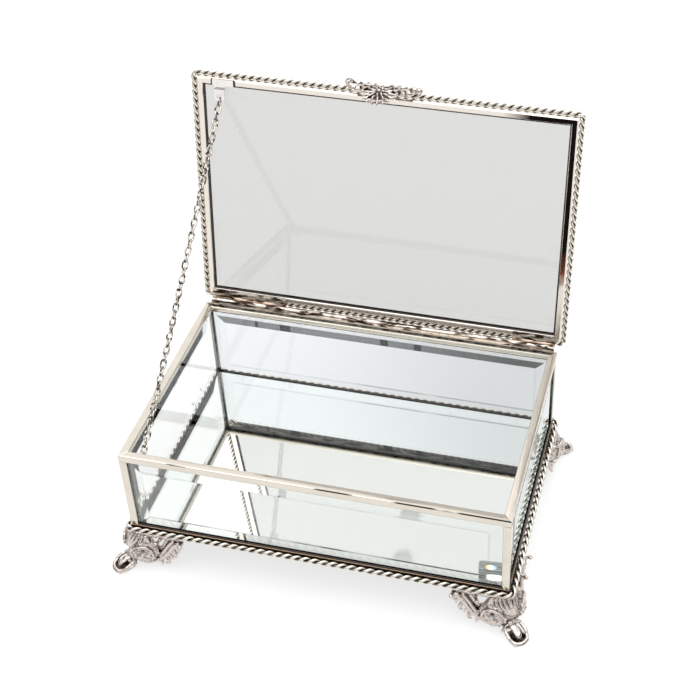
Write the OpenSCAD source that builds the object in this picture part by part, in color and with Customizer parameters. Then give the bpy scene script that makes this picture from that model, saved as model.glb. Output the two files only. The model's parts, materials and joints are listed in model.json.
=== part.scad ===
// Glass casket box: bevelled panes in folded metal rails, a rope edge, cast feet and a hinged lid on a chain.
// The lid stands open on its chain. X runs left to right, Y front to back and Z up from the table.

/* [Body] */
// Outside width of the body frame
box_w = 200; // [150:1:280]
// Outside depth of the body frame
box_d = 128; // [100:1:180]
// Height of the body frame from its underside to its rim
body_h = 53; // [44:0.5:80]
// Height of the body frame above the table
foot_h = 24; // [22:0.5:28]
// Thickness of the sheet metal in the rails and posts
sheet = 0.8; // [0.6:0.05:1]
// Height of the outer wall of the top rails
top_rail_h = 4.1; // [3.4:0.1:5.5]
// Height of the inner lip of the top rails
top_lip_h = 3.2; // [2.4:0.1:4.5]
// Height of the outer wall of the bottom rails
bottom_rail_h = 4; // [3.5:0.1:6]
// Width of the ledge under the floor mirror
ledge_w = 8; // [6:0.5:12]
// Width of each leg of a corner post
post_w = 4.1; // [3.2:0.1:6]

/* [Glass] */
// Thickness of the wall panes
pane_t = 2.6; // [2:0.1:4]
// Thickness of the lid pane
lid_pane_t = 2.5; // [2:0.1:4]
// Thickness of the floor mirror
mirror_t = 3.2; // [2.5:0.1:4.5]
// Width of the ground bevel round each pane
bevel_w = 10; // [5:0.5:14]
// Depth that the bevel takes off the pane's edge
bevel_depth = 1.1; // [0.5:0.1:1.4]
// Gap round a pane in its rail
pane_fit = 0.05; // [0.03:0.01:0.15]

/* [Lid] */
// Overhang of the lid frame past the body frame
lid_over = 0.5; // [0:0.1:2]
// Face width of the lid rails
lid_rail_w = 3.5; // [2.8:0.1:6]
// Gap between the rim and what is soldered under the shut lid
rim_gap = 0.35; // [0.3:0.05:1]
// Angle of the lid from shut to open
open_angle = 98.6; // [92:0.2:108]

/* [Rope edges] */
// Diameter of the rope round the foot of the body
base_rope_d = 3.4; // [2.4:0.1:4]
// Diameter of the rope round the lid
lid_rope_d = 3.3; // [2.4:0.1:4]
// Gap between a soldered piece and its seat
solder_gap = 0.05; // [0.03:0.01:0.1]

/* [Hinge] */
// Outer diameter of the hinge tube
hinge_tube_d = 3.6; // [3.2:0.1:4.4]
// Diameter of the hinge pin
hinge_pin_d = 1.6; // [1.2:0.1:2]
// Radial running clearance of the pin in the lid's knuckles
hinge_run = 0.05; // [0.02:0.01:0.09]
// Distance of the hinge axis behind the body frame
hinge_out = 3.45; // [3.2:0.05:5]
// Inset of the hinge from each side of the body frame
hinge_inset = 2.2; // [1:0.1:8]
// Length of the lid's left knuckle
left_knuckle = 43; // [25:0.5:60]
// Length of the lid's right knuckle
right_knuckle = 23.5; // [15:0.5:60]
// Gap between two knuckles, and between the tube and what it passes
hinge_gap = 0.3; // [0.2:0.05:0.6]
// Thickness of the leaf that joins a knuckle to its rail
leaf_t = 0.8; // [0.8:0.1:1.4]

/* [Chain] */
// Diameter of the chain wire
chain_wire = 0.95; // [0.7:0.05:1.1]
// Outside width of a chain link
link_w = 3.6; // [3.2:0.1:4.4]
// Rough distance from link to link
link_step = 3.8; // [3.4:0.1:4.6]
// Free play between two links
link_play = 0.16; // [0.12:0.01:0.3]
// How far the middle of the chain hangs below a straight line
chain_sag = 1.6; // [0.4:0.1:4]
// Distance of the chain from the left side of the body at its lower end
chain_in = 10.4; // [8:0.1:16]
// Distance of the chain from the left side of the body at its upper end
chain_top_in = 13; // [10:0.1:20]
// Diameter of the hole in the lug that the lowest link passes through
lug_hole_d = 2.2; // [1.8:0.1:2.6]
// Diameter of the hole in the tab that the highest link passes through
tab_hole_d = 3; // [2.6:0.1:3.4]
// Distance from the front edge of the lid frame to the hole in the tab
tab_reach = 9; // [8:0.1:12]
// Width of the tab
tab_w = 5.5; // [4.6:0.1:7]
// Width of the strip that carries the tab
strip_w = 13; // [10:0.5:18]

/* [Cast feet] */
// Length of a foot's wings along the body
wing_l = 29; // [24:0.5:34]
// Thickness of a wing
wing_t = 2.6; // [2:0.1:3.4]
// Distance of the knee's upright axis from the corner of the body frame, along each side
knee_in = 10; // [8:0.5:12]
// Swell of the knee past the side of the body frame
knee_out = 6; // [4:0.1:8]
// Reach of the toe past the corner of the body frame, along each side
toe_reach = 10.4; // [8:0.1:14]
// Width of the toe
toe_w = 13; // [9:0.1:14]
// Diameter of the rolled rim round the toe
toe_wire = 2.6; // [1.8:0.1:3]
// Depth of the flat on which the toe stands
toe_flat = 0.4; // [0.3:0.05:0.6]

/* [Thumb piece] */
// Half the width of the thumb piece
thumb_reach = 21; // [18:0.5:26]
// Thickness of the thumb piece's stems
thumb_t = 2.6; // [2:0.1:3.2]
// Rise of the leaves above the middle of the lid
thumb_rise = 4.6; // [3.5:0.1:8]
// Drop of the pendant below the middle of the lid
thumb_drop = 17.2; // [12:0.1:20]

/* [Hidden] */
$fn = 48;

silver = [0.86, 0.83, 0.80];
bright_silver = [0.92, 0.90, 0.87];
clear_glass = [0.80, 0.88, 0.88, 0.35];
mirror_tint = [0.84, 0.88, 0.87];
past = 1;
toe_web = 1;

half_w = box_w / 2;
half_d = box_d / 2;
rim_z = foot_h + body_h;
rail_w = 2 * sheet + pane_t + 2 * pane_fit;
ledge_z = foot_h + sheet;
mirror_top = ledge_z + solder_gap + mirror_t;
pane_low = ledge_z + solder_gap;
pane_high = rim_z - sheet - solder_gap;
pane_out = sheet + pane_fit;
pane_in = pane_out + pane_t;
post_low = foot_h + bottom_rail_h + solder_gap;
post_high = rim_z - top_rail_h - solder_gap;

// The lid is drawn shut, from its hinge axis: Y runs forward to -lid_front and Z up through its thickness.
tube_r = hinge_tube_d / 2;
pin_r = hinge_pin_d / 2;
lid_low = tube_r + hinge_gap;
lid_gap = rim_gap + leaf_t + solder_gap;
axis_z = rim_z + lid_gap - lid_low;
lid_t = lid_pane_t + 2 * sheet + 2 * pane_fit;
lid_mid = lid_low + lid_t / 2;
lid_half_w = half_w + lid_over;
lid_rear = hinge_out - lid_over;
lid_front = hinge_out + box_d + lid_over;
lid_rope_r = lid_rope_d / 2;
lid_rope_out = lid_rope_r + solder_gap;
base_rope_r = base_rope_d / 2;
base_rope_out = base_rope_r + solder_gap;
base_rope_z = foot_h + base_rope_r + 0.25;
lean = open_angle - 90;

// Where the hinge tube is divided, from the left
hinge_left = -half_w + hinge_inset;
hinge_right = half_w - hinge_inset;
left_split = hinge_left + left_knuckle;
right_split = hinge_right - right_knuckle;

// The thumb piece stands on the lid's front rope
thumb_y = -(lid_front + 2 * lid_rope_r + 2 * solder_gap);
ball_r = 2.1;

// The whole box is moved in Y so that its table footprint and open lid are centred
front_reach = half_d + toe_reach + toe_w / 2 * (1 - sqrt(0.5));
rear_reach = half_d + hinge_out + (thumb_t - thumb_y) * sin(lean) + (lid_mid + thumb_rise) * cos(lean);
box_y = (front_reach - rear_reach) / 2;
axis_y = box_y + half_d + hinge_out;

// The chain runs from the hole in the body's lug to the rim between the tab's hole and its rounded end
lug_hole_r = lug_hole_d / 2;
tab_hole_r = tab_hole_d / 2;
wire_r = chain_wire / 2;
lug_t = 0.9;
lug_rim = 1.2;
tab_t = 0.7;
tab_step = 2.4;
lug_drop = tab_step + solder_gap - lid_gap + hinge_gap + lug_hole_r + lug_rim;
tab_rim = tab_w / 2 - tab_hole_r;
lug_hole = [
    -half_w + chain_in,
    box_y - half_d + rail_w + solder_gap + lug_hole_r + lug_rim,
    rim_z - lug_drop
];
tab_hole_y = -(lid_front - tab_reach);
tab_z = lid_low - solder_gap - tab_step + tab_t / 2;
tab_x = -half_w + chain_top_in;
hook_y = tab_hole_y + tab_hole_r + tab_rim / 2;
tab_hook = [
    tab_x,
    axis_y + hook_y * cos(open_angle) + tab_z * sin(open_angle),
    axis_z - hook_y * sin(open_angle) + tab_z * cos(open_angle)
];
chain_run = tab_hook - lug_hole;
link_bend = (link_w - chain_wire) / 2;
lug_slack = lug_hole_r - wire_r - 0.2;
wire_run = norm(chain_run) - lug_slack - link_play - chain_wire + link_bend;
link_count = 2 * round(wire_run / (2 * link_step));
link_pitch = wire_run / link_count;
// Rounded, so that the straights of a link meet its bends exactly
link_straight = round(50 * (link_pitch + link_play + chain_wire - 2 * link_bend)) / 50;
link_half = link_straight / 2 + link_bend;

// A point of the chain at a distance from its lower hole, with the slight sag
function chain_point(along) =
    let (t = along / norm(chain_run))
    lug_hole + chain_run * t - [0, 0, 4 * chain_sag * t * (1 - t)];

// Turns children that point along +X so that they point along a direction
module aim(direction) {
    rotate([0, -asin(direction.z / norm(direction)), atan2(direction.y, direction.x)])
        children();
}

// Moves children drawn round the middle of the body to the body's place
module on_body() {
    translate([0, box_y, 0]) children();
}

// Opens children drawn on the shut lid
module on_lid() {
    translate([0, axis_y, axis_z]) rotate([-open_angle, 0, 0]) children();
}

// A flat prism with mitred ends, its long edge on Y = 0 and its depth along +Y
module mitre_blank(len, width, height) {
    linear_extrude(height)
        polygon([
            [-len / 2, 0], [len / 2, 0],
            [len / 2 - width, width], [-len / 2 + width, width]
        ]);
}

// A folded profile along X, cut to a mitre at both ends
module mitred_rail(len, width, height, outline) {
    intersection() {
        translate([-len / 2, 0, 0]) rotate([90, 0, 90]) linear_extrude(len) polygon(outline);
        mitre_blank(len - 2 * solder_gap, width, height);
    }
}

// A top rail: an inverted channel, drawn up from the bottom of its outer wall
module top_rail(len) {
    lip_low = top_rail_h - top_lip_h;
    mitred_rail(len, rail_w, top_rail_h, [
        [0, 0], [sheet, 0], [sheet, top_rail_h - sheet], [rail_w - sheet, top_rail_h - sheet],
        [rail_w - sheet, lip_low], [rail_w, lip_low], [rail_w, top_rail_h], [0, top_rail_h]
    ]);
}

// A bottom rail: an angle with its wall outside and its ledge under the glass
module bottom_rail(len) {
    mitred_rail(len, ledge_w, bottom_rail_h, [
        [0, 0], [ledge_w, 0], [ledge_w, sheet], [sheet, sheet],
        [sheet, bottom_rail_h], [0, bottom_rail_h]
    ]);
}

// A lid rail: a channel that opens towards the pane
module lid_rail(len) {
    mitred_rail(len, lid_rail_w, lid_t, [
        [0, 0], [lid_rail_w, 0], [lid_rail_w, sheet], [sheet, sheet],
        [sheet, lid_t - sheet], [lid_rail_w, lid_t - sheet], [lid_rail_w, lid_t], [0, lid_t]
    ]);
}

// Puts a side piece drawn with its outer face on Y = 0 at one side: 0 front, 1 right, 2 rear, 3 left
module at_side(side, half_x, half_y) {
    out = side % 2 == 0 ? half_y : half_x;
    rotate([0, 0, 90 * side]) translate([0, -out, 0]) children();
}

// A pane with a ground bevel round its upper face, centred in X and Y
module bevelled_pane(len, width, thick) {
    slope = atan(bevel_depth / bevel_w);
    difference() {
        translate([-len / 2, -width / 2, 0]) cube([len, width, thick]);
        for (turn = [0, 90, 180, 270]) {
            edge = turn % 180 == 0 ? width / 2 : len / 2;
            reach = turn % 180 == 0 ? len : width;
            rotate([0, 0, turn])
                translate([-reach / 2 - past, -edge + bevel_w, thick])
                rotate([slope, 0, 0])
                translate([0, -bevel_w - past, 0])
                cube([reach + 2 * past, bevel_w + past, bevel_depth + past]);
        }
    }
}

// A wall pane that stands with its bevelled face outwards on Y = 0
module wall_pane(len) {
    height = pane_high - pane_low;
    translate([0, pane_t, height / 2]) rotate([90, 0, 0]) bevelled_pane(len, height, pane_t);
}

// A straight length of rope, mitred at both ends, with its axis on Y = 0 and Z = 0
module rope(len, r) {
    intersection() {
        translate([-len / 2, 0, 0]) rotate([0, 90, 0]) cylinder(h = len, r = r);
        translate([0, -r, -r]) mitre_blank(len - 2 * solder_gap, 2 * r, 2 * r);
    }
}

module body_top_rail(side) {
    color(bright_silver)
        on_body()
        translate([0, 0, rim_z - top_rail_h])
        at_side(side, half_w, half_d)
        top_rail(side % 2 == 0 ? box_w : box_d);
}

module body_bottom_rail(side) {
    color(silver)
        on_body()
        translate([0, 0, foot_h])
        at_side(side, half_w, half_d)
        bottom_rail(side % 2 == 0 ? box_w : box_d);
}

module wall_glass(side) {
    full = side % 2 == 0 ? box_w - 2 * pane_out : box_d - 2 * pane_in - 2 * pane_fit;
    color(clear_glass)
        on_body()
        translate([0, 0, pane_low])
        at_side(side, half_w - pane_out, half_d - pane_out)
        wall_pane(full);
}

module floor_mirror() {
    inset = pane_in + pane_fit;
    color(mirror_tint)
        on_body()
        translate([-half_w + inset, -half_d + inset, ledge_z + solder_gap])
        cube([box_w - 2 * inset, box_d - 2 * inset, mirror_t]);
}

// An angle post at the corner given by the signs of X and Y
module corner_post(x_sign, y_sign) {
    color(silver)
        on_body()
        translate([x_sign * half_w, y_sign * half_d, post_low])
        scale_signs(x_sign, y_sign)
        linear_extrude(post_high - post_low)
        polygon([
            [0, 0], [post_w, 0], [post_w, sheet], [sheet, sheet], [sheet, post_w], [0, post_w]
        ]);
}

// Mirrors children drawn for the front left corner to another corner
module scale_signs(x_sign, y_sign) {
    mirror([x_sign > 0 ? 1 : 0, 0, 0]) mirror([0, y_sign > 0 ? 1 : 0, 0]) children();
}

module body_rope(side) {
    out = base_rope_out + base_rope_r;
    color(bright_silver)
        on_body()
        translate([0, 0, base_rope_z])
        at_side(side, half_w + base_rope_out, half_d + base_rope_out)
        rope((side % 2 == 0 ? box_w : box_d) + 2 * out, base_rope_r);
}

// The outline of a wing: X runs along the body from the corner, Y up to the underside of the rail
module wing_outline(start) {
    knee_low = -(foot_h - 3.8);
    bar = 2.2;
    difference() {
        polygon([
            [start, 0], [wing_l - 1.2, 0], [wing_l - 1.2, -bar], [wing_l * 0.83, -3],
            [wing_l * 0.78, -6.5], [wing_l * 0.68, -12.5], [wing_l * 0.56, -16.5],
            [wing_l * 0.4, knee_low + 0.8], [wing_l * 0.2, knee_low - 1.4], [start, knee_low - 1.4]
        ]);
        polygon([[wing_l * 0.56, -bar], [wing_l * 0.32, -bar], [wing_l * 0.47, -8.2]]);
    }
}

// One wing of a foot in the plane Y = 0 to wing_t, with its top on Z = 0 and the corner at X = 0
module foot_wing() {
    translate([0, wing_t, 0]) rotate([90, 0, 0]) {
        linear_extrude(wing_t) wing_outline(0);
        // The leaf curls along the lower edge
        for (curl = [
            [wing_l - 1.7, -2.4, 1.7], [wing_l * 0.77, -8.6, 1.8],
            [wing_l * 0.67, -12.6, 1.8], [wing_l * 0.56, -16.4, 2]
        ])
            translate([curl[0], curl[1], 0]) cylinder(h = wing_t, r = curl[2]);
    }
}

// The knee: a round solid that swells out under the rope and draws in to the ankle, cut to the wings' outlines
module knee(top) {
    swell = knee_in + knee_out;
    reach = 2 * knee_out;
    intersection() {
        translate([knee_in, knee_in, top])
            rotate_extrude()
            polygon([
                [0, 0], [swell - 3, 0], [swell - 1, -1.6], [swell, -4.6], [swell - 0.6, -10.5],
                [swell - 1.8, -16], [swell - 3.4, -foot_h + 2.4], [0, -foot_h + 2.4]
            ]);
        union()
            for (flip = [0, 1])
                mirror([flip, -flip, 0])
                    translate([0, wing_t - base_rope_out, top])
                    rotate([90, 0, 0])
                    linear_extrude(reach)
                    wing_outline(-reach);
    }
}

// The toe: a scoop with a rolled rim and a ridge, which slopes from the corner down to the table
module toe() {
    r = toe_wire / 2;
    bend = toe_w / 2 - r;
    rise = 6.4;
    back = 5.5;
    fall = atan2(rise - r, back + bend);
    straight = norm([back + bend, rise - r]) - bend;
    ridge_r = 1.2 * r;
    translate([toe_reach * sqrt(2) - toe_w / 2 - back, 0, rise])
        rotate([0, fall, 0]) {
            for (side = [-1, 1])
                translate([0, side * bend, 0]) rotate([0, 90, 0]) cylinder(h = straight, r = r);
            translate([straight, 0, 0])
                rotate([0, 0, -90])
                rotate_extrude(angle = 180)
                translate([bend, 0]) circle(r = r);
            rotate([0, 90, 0]) cylinder(h = straight + bend, r = ridge_r);
            // The web inside the rim
            translate([0, -bend, -toe_web]) cube([straight, 2 * bend, toe_web]);
            translate([straight, 0, -toe_web]) cylinder(h = toe_web, r = bend);
        }
}

// A cast foot at the front left corner: the knee, two wings and the toe
module foot() {
    seat = -base_rope_out;
    top = foot_h - solder_gap + toe_flat;
    difference() {
        union() {
            translate([seat, seat, top]) foot_wing();
            translate([seat, seat, top]) mirror([1, -1, 0]) foot_wing();
            knee(top);
            rotate([0, 0, -135]) toe();
        }
        translate([-4 * wing_l, -4 * wing_l, -8 + toe_flat]) cube([8 * wing_l, 8 * wing_l, 8]);
    }
}

module corner_foot(x_sign, y_sign) {
    color(silver)
        on_body()
        translate([x_sign * half_w, y_sign * half_d, -toe_flat])
        scale_signs(x_sign, y_sign)
        foot();
}

// The middle knuckle, with the leaf that is soldered to the rear top rail
module body_knuckle() {
    len = right_split - left_split - 2 * hinge_gap;
    color(bright_silver)
        translate([left_split + hinge_gap, axis_y, axis_z])
        difference() {
            union() {
                rotate([0, 90, 0]) cylinder(h = len, r = tube_r);
                translate([0, -hinge_out + solder_gap, -leaf_t / 2])
                    cube([len, hinge_out - pin_r, leaf_t]);
            }
            translate([-past, 0, 0]) rotate([0, 90, 0]) cylinder(h = len + 2 * past, r = pin_r);
        }
}

// The pin, held fast in the middle knuckle
module hinge_pin() {
    color(silver)
        translate([hinge_left, axis_y, axis_z])
        rotate([0, 90, 0])
        cylinder(h = hinge_right - hinge_left, r = pin_r - solder_gap / 5);
}

// A knuckle of the lid from one X to another, with the leaf under the rear lid rail
module lid_knuckle(from, to) {
    color(bright_silver)
        on_lid()
        translate([from, 0, 0])
        difference() {
            union() {
                rotate([0, 90, 0]) cylinder(h = to - from, r = tube_r);
                translate([0, -lid_rear - lid_rail_w + solder_gap, lid_low - solder_gap - leaf_t])
                    cube([to - from, lid_rear + lid_rail_w, leaf_t]);
            }
            translate([-past, 0, 0])
                rotate([0, 90, 0])
                cylinder(h = to - from + 2 * past, r = pin_r + hinge_run);
        }
}

module lid_frame_rail(side) {
    color(bright_silver)
        on_lid()
        translate([0, -(lid_front + lid_rear) / 2, lid_low])
        at_side(side, lid_half_w, (lid_front - lid_rear) / 2)
        lid_rail(side % 2 == 0 ? 2 * lid_half_w : lid_front - lid_rear);
}

module lid_frame_rope(side) {
    out = lid_rope_out + lid_rope_r;
    color(bright_silver)
        on_lid()
        translate([0, -(lid_front + lid_rear) / 2, lid_mid])
        at_side(side, lid_half_w + lid_rope_out, (lid_front - lid_rear) / 2 + lid_rope_out)
        rope((side % 2 == 0 ? 2 * lid_half_w : lid_front - lid_rear) + 2 * out, lid_rope_r);
}

module lid_glass() {
    inset = sheet + pane_fit;
    color(clear_glass)
        on_lid()
        translate([0, -(lid_front + lid_rear) / 2, lid_low + sheet + pane_fit])
        bevelled_pane(2 * (lid_half_w - inset), lid_front - lid_rear - 2 * inset, lid_pane_t);
}

// The lug on the inner lip of the front top rail, with a hole for the lowest link
module chain_lug() {
    reach = lug_hole_r + lug_rim;
    color(silver)
        translate([lug_hole.x - lug_t / 2, lug_hole.y, lug_hole.z])
        difference() {
            union() {
                rotate([0, 90, 0]) cylinder(h = lug_t, r = reach);
                translate([0, -reach, -reach]) cube([lug_t, reach, 2 * reach]);
            }
            translate([-past, 0, 0]) rotate([0, 90, 0]) cylinder(h = lug_t + 2 * past, r = lug_hole_r);
        }
}

// The tab under the front lid rail: a strip, a fold and a round tongue with a hole
module chain_tab() {
    tongue = tab_w / 2;
    strip_d = lid_over + rail_w + hinge_gap + tab_t;
    fold_y = -lid_front + strip_d;
    base_z = lid_low - solder_gap - tab_t;
    color(silver)
        on_lid()
        difference() {
            union() {
                translate([tab_x - strip_w / 2 + 1.5, -lid_front + solder_gap, base_z])
                    cube([strip_w, lid_rail_w, tab_t]);
                translate([tab_x - tongue, -lid_front + solder_gap, base_z])
                    cube([tab_w, strip_d - solder_gap, tab_t]);
                translate([tab_x - tongue, fold_y - tab_t, tab_z - tab_t / 2])
                    cube([tab_w, tab_t, base_z + 1.5 * tab_t - tab_z]);
                translate([tab_x - tongue, fold_y - tab_t, tab_z - tab_t / 2])
                    cube([tab_w, tab_hole_y - fold_y + tab_t, tab_t]);
                translate([tab_x, tab_hole_y, tab_z - tab_t / 2])
                    cylinder(h = tab_t, r = tongue);
            }
            translate([tab_x, tab_hole_y, tab_z - tab_t / 2 - past])
                cylinder(h = tab_t + 2 * past, r = tab_hole_r);
        }
}

// One link in the XY plane, its long way along X
module chain_link() {
    half_straight = link_straight / 2;
    for (end = [0, 180])
        rotate([0, 0, end])
            translate([half_straight, 0, 0])
            rotate([0, 0, -90])
            rotate_extrude(angle = 180)
            translate([link_bend, 0]) circle(r = wire_r);
    for (side = [-1, 1])
        translate([-half_straight, side * link_bend, 0])
            rotate([0, 90, 0])
            cylinder(h = link_straight, r = wire_r);
}

// The stay chain: round-wire links set by turns across and along the chain
module stay_chain() {
    color(silver)
        for (i = [0 : link_count - 1]) {
            along = lug_slack + link_half + i * link_pitch;
            translate(chain_point(along))
                aim(chain_point(along + 1) - chain_point(along - 1))
                rotate([90 * (i % 2), 0, 0])
                chain_link();
        }
}

// A round boss of the thumb piece, from its flat back forwards
module boss(x, z, r, thick) {
    translate([x, 0, z]) rotate([90, 0, 0]) cylinder(h = thick, r = r);
}

// The thumb piece: a cast spray of leaves with a flower, a pendant and two ball ends
module thumb_piece() {
    flower_z = lid_mid - 6;
    stem_z = lid_mid + 0.6;
    ball_x = thumb_reach - ball_r;
    leaf_r = 2.45;
    crest = thumb_rise - 0.6 - leaf_r;
    pendant_z = lid_mid - thumb_drop + 2;
    color(silver)
        on_lid()
        translate([0, thumb_y, 0]) {
            // The flower with its petals
            boss(0, flower_z, 3.4, thumb_t + 1.6);
            for (turn = [30 : 60 : 330])
                boss(4.9 * cos(turn), flower_z + 4.9 * sin(turn), 2.6, thumb_t + 0.4);
            // The pendant below the flower
            translate([-1.6, -thumb_t, pendant_z]) cube([3.2, thumb_t, flower_z - pendant_z]);
            boss(0, pendant_z, 2, thumb_t + 0.8);
            // The two sprays: a stem, its leaves and the ball at its end
            for (side = [-1, 1]) {
                translate([side > 0 ? 0 : -ball_x, -thumb_t, stem_z - 1.2])
                    cube([ball_x, thumb_t, 2.4]);
                for (leaf = [
                    [3.6, crest, leaf_r, 0.6], [8, crest, leaf_r, 0.2], [12.4, crest - 0.4, leaf_r, 0.5],
                    [15.6, -0.8, 2, 0.3], [9.6, -1.6, 2.6, 0.9]
                ])
                    boss(side * leaf[0], stem_z + leaf[1], leaf[2], thumb_t + leaf[3]);
                translate([side * ball_x, -ball_r - 0.2, stem_z]) sphere(r = ball_r);
            }
        }
}

wall_glass(0);  // front_glass
wall_glass(2);  // rear_glass
wall_glass(3);  // left_glass
wall_glass(1);  // right_glass
floor_mirror();
body_top_rail(0);  // front_top_rail
body_top_rail(2);  // rear_top_rail
body_top_rail(3);  // left_top_rail
body_top_rail(1);  // right_top_rail
body_bottom_rail(0);  // front_bottom_rail
body_bottom_rail(2);  // rear_bottom_rail
body_bottom_rail(3);  // left_bottom_rail
body_bottom_rail(1);  // right_bottom_rail
corner_post(-1, -1);  // front_left_post
corner_post(1, -1);  // front_right_post
corner_post(-1, 1);  // rear_left_post
corner_post(1, 1);  // rear_right_post
body_rope(0);  // front_base_rope
body_rope(2);  // rear_base_rope
body_rope(3);  // left_base_rope
body_rope(1);  // right_base_rope
corner_foot(-1, -1);  // front_left_foot
corner_foot(1, -1);  // front_right_foot
corner_foot(-1, 1);  // rear_left_foot
corner_foot(1, 1);  // rear_right_foot
body_knuckle();
hinge_pin();
chain_lug();
stay_chain();
lid_glass();
lid_frame_rail(0);  // front_lid_rail
lid_frame_rail(2);  // rear_lid_rail
lid_frame_rail(3);  // left_lid_rail
lid_frame_rail(1);  // right_lid_rail
lid_frame_rope(0);  // front_lid_rope
lid_frame_rope(2);  // rear_lid_rope
lid_frame_rope(3);  // left_lid_rope
lid_frame_rope(1);  // right_lid_rope
lid_knuckle(hinge_left, left_split);  // left_lid_knuckle
lid_knuckle(right_split, hinge_right);  // right_lid_knuckle
chain_tab();
thumb_piece();
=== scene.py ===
import math
import json

import bpy
import bmesh
import numpy as np
from mathutils import Matrix, Vector, noise


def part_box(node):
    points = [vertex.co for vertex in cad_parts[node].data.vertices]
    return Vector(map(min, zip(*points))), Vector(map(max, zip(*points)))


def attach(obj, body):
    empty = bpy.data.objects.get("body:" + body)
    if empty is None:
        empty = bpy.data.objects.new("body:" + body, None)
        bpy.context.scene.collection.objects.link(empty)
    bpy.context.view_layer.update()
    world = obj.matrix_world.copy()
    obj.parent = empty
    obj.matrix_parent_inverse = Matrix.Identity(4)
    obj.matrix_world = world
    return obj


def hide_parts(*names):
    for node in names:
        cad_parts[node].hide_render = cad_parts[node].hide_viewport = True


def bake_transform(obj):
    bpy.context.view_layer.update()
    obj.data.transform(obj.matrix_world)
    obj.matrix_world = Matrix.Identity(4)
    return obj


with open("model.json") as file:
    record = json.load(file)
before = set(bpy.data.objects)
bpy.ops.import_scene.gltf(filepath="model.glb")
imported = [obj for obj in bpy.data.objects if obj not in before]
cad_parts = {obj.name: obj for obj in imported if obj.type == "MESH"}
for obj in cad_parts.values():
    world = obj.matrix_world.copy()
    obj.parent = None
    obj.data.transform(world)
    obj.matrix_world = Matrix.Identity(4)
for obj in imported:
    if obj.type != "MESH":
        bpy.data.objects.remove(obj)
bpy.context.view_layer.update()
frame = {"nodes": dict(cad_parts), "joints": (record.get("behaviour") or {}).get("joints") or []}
parts = frame["nodes"]

# Camera: it stands at the front, a little to the right of the box, and looks down into it at 40
# degrees. Its lens and place were found from the corners of the box's frame in the photograph.
MM = 0.001
PICTURE_PX = 700
FOCAL_PX = 1434
PRINCIPAL_PX = (420.8, 348.6)
SENSOR_MM = 36
YAW_DEG, PITCH_DEG, ROLL_DEG = 14.40, 39.92, 1.01
FROM_RIM_MM = (175.5, -525.1, 497.2)
CLIP_MM = (10, 50000)
rim_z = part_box("front_top_rail")[1].z
front_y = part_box("front_top_rail")[0].y
rear_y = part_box("rear_top_rail")[1].y
rim_middle = Vector((0, (front_y + rear_y) / 2, rim_z))
camera_place = Vector(FROM_RIM_MM) * MM + rim_middle

yaw, pitch, tilt = math.radians(YAW_DEG), math.radians(PITCH_DEG), math.radians(ROLL_DEG)
forward = Vector((-math.sin(yaw) * math.cos(pitch), math.cos(yaw) * math.cos(pitch), -math.sin(pitch)))
level = Vector((math.cos(yaw), math.sin(yaw), 0))
down = forward.cross(level)
across = math.cos(tilt) * level + math.sin(tilt) * down
upward = math.sin(tilt) * level - math.cos(tilt) * down

camera = bpy.data.objects.new("camera", bpy.data.cameras.new("camera"))
bpy.context.scene.collection.objects.link(camera)
turn = Matrix((across, upward, -forward)).transposed()
camera.matrix_world = Matrix.Translation(camera_place) @ turn.to_4x4()
camera.data.sensor_width = SENSOR_MM
camera.data.lens = SENSOR_MM * FOCAL_PX / PICTURE_PX
camera.data.shift_x = (PICTURE_PX / 2 - PRINCIPAL_PX[0]) / PICTURE_PX
camera.data.shift_y = (PRINCIPAL_PX[1] - PICTURE_PX / 2) / PICTURE_PX
camera.data.clip_start, camera.data.clip_end = (distance * MM for distance in CLIP_MM)
bpy.context.scene.camera = camera
bpy.context.scene.view_settings.view_transform = "Standard"


# Floor and light: a plain opal acrylic table, lit softly from below, in a white studio. The room is
# brightest overhead, dimmer in front, and dark at both ends and below, for the plate's contrast.
def tone(code):
    """The linear colour of an sRGB hex code."""
    channels = [int(code[i : i + 2], 16) / 255 for i in (1, 3, 5)]
    return tuple(c / 12.92 if c <= 0.04045 else ((c + 0.055) / 1.055) ** 2.4 for c in channels) + (1.0,)


def add(tree, kind, feeds=None, **settings):
    """Adds a node with its settings. feeds gives each input a value, or the socket or node that
    feeds it. A node feeds it from its first output."""
    made = tree.nodes.new("ShaderNode" + kind)
    for name, value in settings.items():
        setattr(made, name, value)
    for name, value in (feeds or {}).items():
        if isinstance(value, bpy.types.Node):
            value = value.outputs[0]
        if isinstance(value, bpy.types.NodeSocket):
            tree.links.new(value, made.inputs[name])
        else:
            made.inputs[name].default_value = value
    return made


def new_material(name):
    """An empty node material and its tree."""
    made = bpy.data.materials.new(name)
    made.use_nodes = True
    made.node_tree.nodes.clear()
    return made, made.node_tree


def mesh_object(name, verts, faces):
    """A new smooth object from points in metres and faces."""
    mesh = bpy.data.meshes.new(name)
    mesh.from_pydata([tuple(v) for v in verts], [], faces)
    mesh.validate()
    made = bpy.data.objects.new(name, mesh)
    bpy.context.scene.collection.objects.link(made)
    mesh.polygons.foreach_set("use_smooth", [True] * len(mesh.polygons))
    return made


FLOOR_HALF_MM = 3000
ROUND = ((-1, -1), (1, -1), (1, 1), (-1, 1))
floor_corners = [(x_way * FLOOR_HALF_MM * MM, y_way * FLOOR_HALF_MM * MM, 0) for x_way, y_way in ROUND]
floor = mesh_object("floor", floor_corners, [(0, 1, 2, 3)])
pale, tree = new_material("opal acrylic")
opal = add(tree, "BsdfPrincipled", {
    "Base Color": tone("#9E9E9E"), "Roughness": 0.9, "Specular IOR Level": 0.1,
    "Emission Color": (1, 1, 1, 1), "Emission Strength": 0.70,
})
add(tree, "OutputMaterial", {"Surface": opal})
floor.data.materials.append(pale)

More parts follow.
